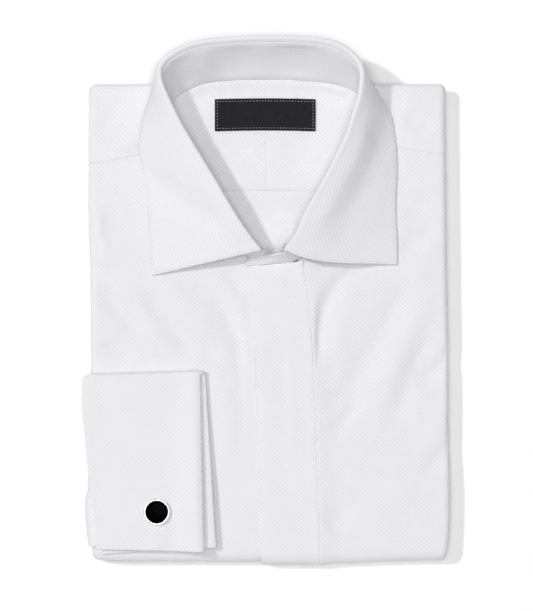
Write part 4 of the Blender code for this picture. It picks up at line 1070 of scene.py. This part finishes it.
def leaf_grid():
    """Middle face of the leaf, its normals, and its grain: along the collar and down from the fold."""
    falls = spaced(*LEAF_FALL, "end")[1:]
    grid = np.array([leaf_section(row, falls) for row in smooth_rows(COLLAR, spaced(*LEAF_STATIONS))])
    return grid, -grid_normals(grid), along_and_down(grid, lengths(grid) - ROLL_RISE - ROLL_R)


def band_section(row):
    """Foot and top of the band at a collar row."""
    seam, fold, _, rise = collar_frame(row)[:4]
    return np.concatenate([seam - BAND_SINKS * rise, fold - (ROLL_RISE + BAND_GAP) * rise])


def tab_section(row):
    return np.array([row[0], row[1], BAND_FOOT_Z, *row[2:]])


def band_grid():
    """Middle face of the band, its lapping ends included, with its normals and grain."""
    middle = [band_section(row) for row in smooth_rows(COLLAR, np.linspace(0, 1, BAND_STATIONS))]
    under = smooth_rows([tab_section(row) for row in UNDER_TAB] + middle[:1],
                        np.linspace(0, 1, UNDER_TAB_STATIONS))
    over = smooth_rows(middle[-1:] + [tab_section(row) for row in OVER_TAB],
                       np.linspace(0, 1, OVER_TAB_STATIONS))
    rows = np.concatenate([under[:-1], middle, over[1:]])
    foot, top = rows[:, None, :3], rows[:, None, 3:]
    grid = mix(foot, top, spaced(*BAND_RISE)[None, :, None])
    return grid, -grid_normals(grid), along_and_down(grid, lengths(grid))


# ---------------------------------------------------------------- cuff, sleeve, cufflink
def cuff_base(x, y):
    """Middle height of the cuff's back half, which the link's toggle lifts off the pack."""
    away = ((x - LINK_X) ** 2 + (y - LINK_Y) ** 2) / LINK_LIFT_R**2
    curl = CUFF_CURL * cuff_corner(x, y)
    return PACK_TOP + SEAM_GAP + CUFF_HALF + LINK_LIFT * np.exp(-away / 2) + curl


def cuff_corner(x, y):
    """1 at the cuff's lower right corner, whose plies curl up and open most, and 0 at its left ones."""
    down = ease((CUFF_TOP_Y - y) / (CUFF_TOP_Y - CUFF_BOTTOM_Y))
    return ease((x - CUFF_CURL_X) / CUFF_CURL_RUN) * mix(CUFF_CURL_TOP, 1, down)


def cuff_gap(x, y):
    hand = ease((x - SLEEVE_IN_X) / CUFF_NARROWS)
    return mix(CUFF_GAP_SLEEVE, CUFF_GAP_HAND, hand) + CUFF_OPENS * cuff_corner(x, y)


def cuff_row(place, across_share, bend):
    """Middle line round the cuff's wall at a place: 0 to 1 up the front, 2 to 3 down the back."""
    foot_y = CUFF_BOTTOM_Y if place <= 1 else CUFF_BOTTOM_Y - CUFF_BACK_DROP
    ends_y = mix(foot_y, CUFF_TOP_Y, place) if place <= 1 else mix(CUFF_TOP_Y, foot_y, max(place - 2, 0))
    left, right = (mix(read(CUFF_ENDS, ends_y, k), read(CUFF_ENDS, ends_y, k + 2), ease(place - 1))
                   for k in (1, 2))
    across = mix(left, right - CUFF_END_R, across_share)
    x = np.concatenate([across, across[-1] + CUFF_END_R * np.sin(bend), across[::-1]])
    side = np.concatenate([np.full(len(across), 1.0), np.cos(bend), np.full(len(across), -1.0)])
    base = cuff_base(x, ends_y)
    top = base + 2 * CUFF_HALF + cuff_gap(x, ends_y)
    turn_r = (top - base) / 2
    angle = min(max(place - 1, 0), 1) * math.pi
    fold_y = CUFF_TOP_Y - turn_r - CUFF_HALF
    y = mix(foot_y, fold_y, (ends_y - foot_y) / (CUFF_TOP_Y - foot_y))
    tilt = mix(*CUFF_TILT, (ends_y - CUFF_BOTTOM_Y) / (CUFF_TOP_Y - CUFF_BOTTOM_Y)) * (place < 2)
    tilt = tilt + CUFF_BACK_TURN * max(place - 2, 0)
    y = y + turn_r * math.sin(angle) + tilt * (x - CUFF_MID_X)
    z = (top + base) / 2 + turn_r * math.cos(angle)
    seat = fade(np.hypot(x - LINK_X, y - LINK_Y), BEZEL_R, LINK_SEAT_RUN)
    soft = (fold_heights(x, y, CUFF_FOLDS) * seat + ripples(x, y)) * fade(place, *CUFF_FOLDS_END)
    roll = mix(CUFF_ROLL[1], -CUFF_ROLL[0], (1 + math.cos(angle)) / 2)
    roll = roll * np.clip((x - right + CUFF_ROLL_RUN) / CUFF_ROLL_RUN, 0, 1) ** 2
    normal = np.array([0, math.sin(angle), math.cos(angle)])
    return shifted(np.stack([x, y, z], axis=-1), normal, CUFF_END_R * side + soft + roll)


def cuff_grid():
    """Middle face of the cuff's wall, a double ply that goes down the front and up the back."""
    flat = spaced(*CUFF_ROWS, "start")
    places = np.concatenate([flat[:-1], np.linspace(1, 2, CUFF_TURN_ROWS)[:-1], 3 - flat[::-1]])
    across_share = spaced(*CUFF_COLUMNS, "start")
    bend = np.linspace(0, math.pi, CUFF_BEND_STEPS)[1:-1]
    grid = np.array([cuff_row(place, across_share, bend) for place in places])
    return grid, grid_normals(grid), grain(grid)


def sleeve_row(y):
    """Middle line of the flattened sleeve at y, from inside the cuff round the side of the pack."""
    axis_x = -(half_width(-1, y) - SIDE_R)
    axis_z = PACK_TOP - SIDE_R
    over_cuff = CUFF_HALF + SEAM_GAP + SLEEVE_WALL / 2
    line = [(x, y, cuff_base(x, y) + over_cuff)
            for x in np.linspace(SLEEVE_IN_X, axis_x, SLEEVE_LAID_COLUMNS)[:-1]]
    start = cuff_base(axis_x, y) + over_cuff - axis_z
    close = SIDE_R + SEAM_GAP + SLEEVE_WALL / 2
    bulge = SLEEVE_BULGE * fade(y, *SLEEVE_NOTCH) * fade(y, CUFF_BOTTOM_Y, SLEEVE_BULGE_RUN)
    height, short, long = SLEEVE_WAVES
    waves = height * math.sin(y / short + 2 * math.sin(y / long))
    for angle in np.linspace(0, SLEEVE_TURN, SLEEVE_TURN_COLUMNS):
        radius = mix(start, close, ease(angle / SLEEVE_SETTLE)) + (bulge + waves) * math.sin(angle)
        line.append((axis_x - radius * math.sin(angle), y, axis_z + radius * math.cos(angle)))
    return line


def sleeve_grid():
    grid = np.array([sleeve_row(y) for y in mix(*SLEEVE_Y, spaced(*SLEEVE_ROWS))])
    return grid, grid_normals(grid), grain(grid)


def link_seat_z():
    """Height of the cuff's top face at the link, where the bezel rests."""
    return cuff_base(LINK_X, LINK_Y) + 3 * CUFF_HALF + cuff_gap(LINK_X, LINK_Y)


# ---------------------------------------------------------------- hidden layers
def layers_ring(x, inset, slotted, neck):
    """Outline of the hidden layers in the plane at x, with a tooth for each cloth edge."""
    axis = float(fold_axis_y(x))
    nose_y = float(top_axis_y(x)) - CORNER_ROOM * slotted
    nose_z = PACK_TOP - SIDE_R
    nose_r = SIDE_R - LAYER_MARGIN - NOSE_SLACK - inset
    top = PACK_TOP - LAYER_MARGIN - LAYER_SLACK - inset
    low = top - (INNER_DEPTH + NECK_SLACK) * neck
    ring = [(RECESS_END_Y - RECESS_SLOPE, top), (RECESS_END_Y, low), (nose_y - NOSE_BACK, low)]
    for angle in np.radians(NOSE_ANGLES):
        ring.append((nose_y + nose_r * math.sin(angle), min(nose_z + nose_r * math.cos(angle), low)))
    slot_low, slot_high = SLOT_Z[0] - inset, SLOT_Z[1] + inset
    inner_y = axis - SLOT_BACK if slotted else nose_y - LAYER_FROM
    ring.append((inner_y, slot_high))
    tall = (slot_high - slot_low) / len(LAYER_OUT)
    height, wave, lag = LAYER_WAVES
    for layer, out in enumerate(LAYER_OUT):
        reach = LAYER_FROM + out + height * math.sin(x / wave + lag * layer)
        end_y = inner_y - SLOT_REACH if slotted else inner_y + reach
        high = slot_high - layer * tall
        ring.append((inner_y, high - 0.1 * tall))
        ring += [(end_y - back, high - down * tall) for back, down in LAYER_TOOTH]
    tail = TAIL_Y - TAIL_BACK - inset - CORNER_ROOM * slotted
    ring += [(inner_y, slot_low), (tail, slot_low), (tail, LAYER_MARGIN + LAYER_SLACK + inset)]
    radius = FOLD_R - LAYER_MARGIN - LAYER_SLACK - inset
    for turn in np.linspace(0, math.pi, LAYER_FOLD_STEPS):
        ring.append((axis - radius * math.sin(turn), FOLD_R - radius * math.cos(turn)))
    return [(x, y, z) for y, z in ring]


def layers_rings():
    """Rings of the hidden layers from the viewer's left to the right."""
    left, right = LAYER_SIDE_X
    ends = [*LAYER_ENDS, (0, 0), (-SLOT_SIDE, 0)]
    between = np.linspace(left + SLOT_SIDE + SEAM_GAP, right - SLOT_SIDE - SEAM_GAP, LAYER_RINGS)
    rows = [(left - out, inset, True, False) for out, inset in ends]
    rows += [(x, 0, False, abs(x) < RECESS_HALF) for x in between]
    rows += [(right + out, inset, True, False) for out, inset in ends[::-1]]
    return [layers_ring(*row) for row in rows]


# ---------------------------------------------------------------- materials
def set_input(tree, socket, value):
    """A number, a colour or another node's socket goes into a socket."""
    if isinstance(value, bpy.types.NodeSocket):
        tree.links.new(value, socket)
    else:
        socket.default_value = value


def add_node(tree, kind, output, inputs=(), **settings):
    """A new node with its settings and its inputs; the socket of one of its outputs."""
    node = tree.nodes.new("ShaderNode" + kind)
    for name, value in settings.items():
        setattr(node, name, value)
    for key, value in dict(inputs).items():
        set_input(tree, node.inputs[key], value)
    return node.outputs[output]


def math_node(tree, operation, *values):
    return add_node(tree, "Math", 0, enumerate(values), operation=operation)


def noise_node(tree, vector, scale, detail):
    return add_node(tree, "TexNoise", "Fac", {"Vector": vector, "Scale": scale, "Detail": detail})


def object_noise(tree, scale, detail):
    return noise_node(tree, add_node(tree, "TexCoord", "Object"), scale, detail)


def bump_node(tree, height, distance, strength=1.0, **more):
    inputs = {"Height": height, "Distance": distance, "Strength": strength, **more}
    return add_node(tree, "Bump", "Normal", inputs)


def mix_colors(tree, share, dark, light):
    return add_node(tree, "Mix", "Result", {"Factor": share, "A": dark, "B": light}, data_type="RGBA")


def grain_sockets(tree):
    """Sockets of the grain's two directions, in metres, and of the grain as a vector."""
    uv = add_node(tree, "UVMap", "UV", uv_map="grain")
    split = add_node(tree, "SeparateXYZ", "X", {0: uv}).node.outputs
    return split["X"], split["Y"], uv


def make_material(name, looks, colors):
    """A material from a function that gives its shader's inputs."""
    material = bpy.data.materials.new(name)
    material.use_nodes = True
    tree = material.node_tree
    for key, value in looks(tree, colors).items():
        set_input(tree, tree.nodes["Principled BSDF"].inputs[key], value)
    return material


def cotton_looks(tree, colors):
    """White cotton woven in small diamonds, with fine yarns and faint unevenness."""
    across, along, uv = grain_sockets(tree)
    waves = [math_node(tree, "COSINE", math_node(tree, "MULTIPLY", way, 2 * math.pi / period))
             for way, period in zip((across, along), WEAVE)]
    diamonds = math_node(tree, "MULTIPLY_ADD", math_node(tree, "MULTIPLY", *waves), 0.5, 0.5)
    cloud = math_node(tree, "MULTIPLY", noise_node(tree, uv, 38.0, 3.0), 0.25)
    shade = math_node(tree, "MULTIPLY_ADD", diamonds, 0.75, cloud)
    yarns = bump_node(tree, noise_node(tree, uv, 2600.0, 1.0), 0.00003, 0.6)
    return {"Base Color": mix_colors(tree, shade, *colors),
            "Normal": bump_node(tree, diamonds, 0.00018, Normal=yarns),
            "Roughness": 0.86, "Specular IOR Level": 0.12,
            "Sheen Weight": 0.08, "Sheen Roughness": 0.5}


def thread_looks(tree, colors):
    """Sewing thread with a fine twist."""
    twist = noise_node(tree, grain_sockets(tree)[2], 4200.0, 1.0)
    return {"Base Color": mix_colors(tree, twist, *colors), "Normal": bump_node(tree, twist, 0.00004),
            "Roughness": 0.6, "Specular IOR Level": 0.35}


def label_looks(tree, colors):
    """Black satin tape with a fine twill."""
    across, along, uv = grain_sockets(tree)
    slant = math_node(tree, "MULTIPLY_ADD", along, 0.55, across)
    twill = math_node(tree, "SINE", math_node(tree, "MULTIPLY", slant, 2 * math.pi / TWILL))
    shade = math_node(tree, "MULTIPLY_ADD", twill, 0.3, noise_node(tree, uv, 260.0, 3.0))
    return {"Base Color": mix_colors(tree, shade, *colors), "Normal": bump_node(tree, twill, 0.00005),
            "Roughness": 0.7, "Specular IOR Level": 0.1}


def steel_looks(tree, colors):
    """Polished steel with faint rubbing marks."""
    marks = object_noise(tree, 900.0, 4.0)
    spread = add_node(tree, "MapRange", "Result", {"Value": marks, "To Min": 0.3, "To Max": 0.4})
    return {"Base Color": mix_colors(tree, marks, *colors), "Roughness": spread, "Metallic": 1.0}


def onyx_looks(tree, colors):
    """Polished black stone with faint clouds."""
    clouds = object_noise(tree, 240.0, 4.0)
    return {"Base Color": mix_colors(tree, clouds, *colors), "Roughness": 0.08,
            "Specular IOR Level": 0.003}


def paper_looks(tree, colors):
    """Plain white paper."""
    tooth = object_noise(tree, 300.0, 2.0)
    return {"Base Color": mix_colors(tree, tooth, *colors), "Roughness": 0.9, "Specular IOR Level": 0.1}


# ---------------------------------------------------------------- pieces
def make_fronts(cloth, thread):
    for name, side, width in (("front_right", -1, 0.142), ("front_left", 1, 0.106)):
        grid, normals, uv = front_grid(side)
        piece = make_cloth(name + "_cloth", grid, normals, CLOTH, uv, cloth, replaces=name)

    grid, normals, uv = placket_grid()
    piece = make_cloth("fly_placket_cloth", grid, normals, PLACKET_CLOTH, uv, cloth,
                       replaces="fly_placket")
    seen = panel_rows(*PLACKET_ROWS) < 2.2
    stitches = make_stitches("placket_stitches", edge_lines(grid[seen], normals[seen], "right"), thread,
                             radius=PLACKET_STITCH_R)


def make_yokes(cloth, thread):
    for name, side, area in (("yoke_right", -1, 0.0054), ("yoke_left", 1, 0.0048)):
        grid, normals, uv = yoke_grid(side)
        piece = make_cloth(name + "_cloth", grid, normals, CLOTH, uv, cloth, replaces=name)
        seam = edge_lines(grid[:, :YOKE_WIDE_COLUMNS], normals[:, :YOKE_WIDE_COLUMNS], "end")
        stitches = make_stitches(name + "_stitches", seam, thread)


def make_inner_yokes(cloth, thread):
    low = YOKE_SEAM_Y - LAP_STEP * 0.3
    high = neck_seam(1200)[:, 1].max() - STRIP
    rise = np.sin(np.linspace(0, math.pi / 2, INNER_YOKE_ROWS))
    halves = [
        ("inner_yoke_right", lambda y: neck_x(-1, y), lambda y: 0 * y + YOKE_SPLIT_X - SPLIT_GAP),
        ("inner_yoke_left", lambda y: 0 * y + YOKE_SPLIT_X + SPLIT_GAP, lambda y: neck_x(1, y)),
    ]
    for name, left, right in halves:
        grid, normals = neck_grid(low, high, left, right, rise)
        split = groove(grid[..., 0] - YOKE_SPLIT_X, *INNER_SPLIT_GROOVE)
        grid = shifted(grid, UP, split + 0.8 * strip_relief(grid[..., 1] - low))
        piece = make_cloth(name + "_cloth", grid, normals, CLOTH, grid[..., :2].copy(), cloth,
                           replaces=name)
        stitches = make_stitches(name + "_stitches", edge_lines(grid, normals, "start"), thread)


def make_back(cloth):
    grid, normals = neck_grid(BACK_END_Y, YOKE_SEAM_Y + LAP, lambda y: neck_x(-1, y),
                              lambda y: neck_x(1, y), np.linspace(0, 1, BACK_ROWS))
    under = ease((grid[..., 1] - YOKE_SEAM_Y + LAP_STEP) / LAP_STEP)
    grid = shifted(grid, UP, -BACK_DROP * under)
    piece = make_cloth("back_cloth", grid, normals, CLOTH, grid[..., :2].copy(), cloth, replaces="back")


def make_leaf(cloth, thread):
    grid, normals, uv = leaf_grid()
    along, down = uv[..., 0], uv[..., 1]
    relief = fold_heights(along, down, LEAF_FOLDS) * fade(down, *LEAF_FOLDS_BEGIN)
    near = np.minimum.reduce(edge_distances(grid)[1:])
    grid = shifted(grid, normals, relief + ripples(along, down) * fade(down, 0, LEAF_RIPPLES_RUN))
    normals = -grid_normals(grid)
    face = shifted(grid, normals, STRIP / 2 + strip_relief(near))
    piece = make_shell("collar_leaf_cloth", face, shifted(grid, normals, -STRIP / 2), uv, cloth,
                       replaces="collar_leaf")
    stitches = make_stitches("leaf_stitches", edge_lines(face, normals, "right", "start", "end"), thread)


def make_band(cloth, thread):
    grid, normals, uv = band_grid()
    foot, up, from_start, from_end = edge_distances(grid)
    soft = fold_heights(grid[..., 0], grid[..., 1], BAND_FOLDS)
    grid = shifted(grid, normals, soft * fade(foot, 0, BAND_FOOT_RUN) * fade(up, 0, BAND_TOP_RUN))
    near = np.minimum.reduce([foot, from_start, from_end])
    inner = shifted(grid, normals, STRIP / 2 + BAND_FULLER + strip_relief(np.minimum(near, up)))
    outer = shifted(grid, normals, -STRIP / 2 - strip_relief(near))
    piece = make_shell("collar_band_cloth", inner, outer, uv, cloth, replaces="collar_band")
    lines = edge_lines(inner, normals, "left", "right") + edge_lines(outer, -normals, "left")
    lines += edge_lines(inner, normals, "start", "end") + edge_lines(outer, -normals, "start", "end")
    stitches = make_stitches("band_stitches", lines, thread)


def make_label(material, thread):
    share = np.linspace(-1, 1, LABEL_COLUMNS)
    x = (sum(LABEL_X) + (LABEL_X[1] - LABEL_X[0]) * share) / 2
    rows = []
    for y in np.linspace(*LABEL_Y, LABEL_ROWS):
        place = y + LABEL_BOW * (1 - share**2)
        lift = fold_heights(x, place, NECK_FOLDS) + ripples(x, place) + LABEL_CORNER * abs(share) ** 6
        rows.append(np.stack([x, place, PACK_TOP - INNER_DEPTH + LABEL_LIFT + lift], axis=-1))
    grid = np.array(rows)
    normals = np.broadcast_to(UP, grid.shape)
    piece = make_cloth("label_cloth_tape", grid, normals, LABEL_WALL, grid[..., :2].copy(), material,
                       slot="label_cloth", replaces="label")
    lines = edge_lines(grid, normals, "left", "right", "start", "end", inset=1.5)
    stitches = make_stitches("label_stitches", lines, thread, pitch=2.1,
                             length=1.25, radius=0.2)


def make_sleeve(cloth):
    grid, normals, uv = sleeve_grid()
    face, back = (shifted(grid, normals, way * SLEEVE_WALL / 2) for way in (1, -1))
    sleeve = make_shell("right_sleeve_cloth", face, back, uv, cloth, replaces="right_sleeve", rim_steps=5)


def make_cuff(cloth, thread):
    grid, normals, uv = cuff_grid()
    near = np.minimum.reduce(edge_distances(grid))
    face = shifted(grid, normals, CUFF_CLOTH / 2 + strip_relief(near))
    cuff = make_shell("right_cuff_cloth", face, shifted(grid, normals, -CUFF_CLOTH / 2), uv, cloth,
                      replaces="right_cuff")
    half = face.shape[1] // 2
    stitches = make_stitches("cuff_stitches", edge_lines(face[:, :half], normals[:, :half], "start", "end"),
                             thread)


def make_turned(name, profile, sides, z, material, replaces, flatten=1.0):
    """A solid turned about the cufflink's axis, from rows of radius and height above z."""
    turns = np.arange(sides) * 2 * math.pi / sides
    rings = [[(LINK_X + radius * math.cos(a), LINK_Y + flatten * radius * math.sin(a), z + height)
              for a in turns] for radius, height in profile]
    return make_loft(name, rings, material, replaces)


def rounded(radius, height, r, steps=5):
    """Profile points round an outer corner, from the side's foot up over the edge."""
    turns = np.linspace(0, math.pi / 2, steps)
    return [(radius - r + r * math.cos(a), height - r + r * math.sin(a)) for a in turns]


def make_cufflink(steel, onyx):
    seat = link_seat_z() + LINK_CLEAR
    toggle_z = PACK_TOP + SEAM_GAP
    long, wide, tall = TOGGLE_SIZE
    cup = ONYX_R + ONYX_GAP
    half = (BEZEL_R - cup) / 2
    foot = [(radius, half - height) for radius, height in rounded(BEZEL_R, half, half)[::-1]]
    over = rounded(BEZEL_R, BEZEL_H, half, 8)
    back = [(BEZEL_R + cup - radius, height) for radius, height in over[-2::-1]]
    bezel = [(POST_R, toggle_z + tall - seat), (POST_R, 0), *foot, *over, *back,
             (cup, BEZEL_H - ONYX_DEPTH)]
    make_turned("cufflink_bezel_ring", bezel, LINK_SIDES, seat, steel, "cufflink_bezel")
    dome = [(ONYX_R * math.sin(a), ONYX_DEPTH - ONYX_GAP + ONYX_DOME * math.cos(a))
            for a in np.radians((90, 82, 70, 56, 42, 28, 14, 3))]
    make_turned("cufflink_onyx_stone", [(ONYX_R, 0), *dome], LINK_SIDES, seat + BEZEL_H - ONYX_DEPTH,
                onyx, "cufflink_onyx")
    edge = rounded(long / 2, tall, TOGGLE_ROUND)
    toggle = [(radius, tall - height) for radius, height in edge[::-1]] + edge
    make_turned("cufflink_toggle_bar", toggle, TOGGLE_SIDES, toggle_z, steel,
                "cufflink_toggle", flatten=wide / long)


# ---------------------------------------------------------------- light, floor and camera
def make_floor():
    mesh = bpy.data.meshes.new("floor")
    corners = [(x * FLOOR_HALF, y * FLOOR_HALF, 0) for x, y in ((-1, -1), (1, -1), (1, 1), (-1, 1))]
    mesh.from_pydata(corners, [], [(0, 1, 2, 3)])
    mesh.materials.append(make_material("floor_paper", paper_looks, PAPER))
    floor = add_object("floor", mesh)
    floor.location.z = FLOOR_Z


def make_light(name, location, size, power):
    light = bpy.data.lights.new(name, "AREA")
    light.shape = "DISK"
    light.size = size
    light.energy = power
    lamp = add_object(name, light)
    lamp.location = location
    x, y, z = location
    tilt = math.acos(z / math.dist(location, (0, 0, 0)))
    lamp.rotation_euler = (tilt, 0, math.atan2(-y, -x) - math.pi / 2)


def make_world():
    """White light from all round, more from above and from low down, none from the camera's place."""
    world = bpy.data.worlds.new("studio")
    world.use_nodes = True
    tree = world.node_tree
    way = add_node(tree, "SeparateXYZ", "Z", {0: add_node(tree, "TexCoord", "Generated")})
    height = math_node(tree, "MAXIMUM", way, 0.0)
    low = math_node(tree, "SUBTRACT", 1.0, height)
    light = WORLD_AROUND
    for place, (strength, power) in ((height, WORLD_ABOVE), (low, WORLD_LOW)):
        share = math_node(tree, "POWER", place, power)
        light = math_node(tree, "MULTIPLY_ADD", share, strength, light)
    hood = add_node(tree, "MapRange", "Result", {
        "Value": height, "From Min": HOOD[0], "From Max": HOOD[1], "To Min": 1.0, "To Max": 0.0,
    }, interpolation_type="SMOOTHSTEP")
    background = tree.nodes["Background"]
    background.inputs["Color"].default_value = (1, 1, 1, 1)
    tree.links.new(math_node(tree, "MULTIPLY", light, hood), background.inputs["Strength"])
    bpy.context.scene.world = world


def make_camera():
    camera = bpy.data.cameras.new("camera")
    camera.sensor_fit = "VERTICAL"
    camera.sensor_height = SENSOR
    camera.lens = SENSOR * CAMERA[2] / FRAME_HEIGHT
    camera.clip_end = 20
    item = add_object("camera", camera)
    item.location = [value * METRES_PER_MM for value in CAMERA]
    bpy.context.scene.camera = item


def make_scene():
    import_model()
    cloth = make_material("shirt_cloth", cotton_looks, COTTON)
    thread = make_material("sewing_thread", thread_looks, THREAD)
    # painted shade: a darker copy of the white thread, for the stitches on the collar
    shade_darkened_thread = make_material("shade_darkened_thread", thread_looks, SHADE_DARKENED_THREAD)
    pale_thread = make_material("label_thread", thread_looks, LABEL_THREAD)
    make_fronts(cloth, thread)
    make_yokes(cloth, thread)
    make_inner_yokes(cloth, thread)
    make_back(cloth)
    # the leaf's and band's stitches get the darker thread, which paints shade onto them
    make_leaf(cloth, shade_darkened_thread)
    make_band(cloth, shade_darkened_thread)
    make_label(make_material("label_cloth", label_looks, LABEL_TAPE), pale_thread)
    make_sleeve(cloth)
    make_cuff(cloth, thread)
    make_cufflink(make_material("polished_steel", steel_looks, STEEL),
                  make_material("black_onyx", onyx_looks, ONYX))
    make_loft("hidden_layers_stack", layers_rings(), cloth, "hidden_layers")
    make_floor()
    make_world()
    for light in LIGHTS:
        make_light(*light)
    make_camera()
    bpy.context.scene.view_settings.view_transform = "Standard"


make_scene()
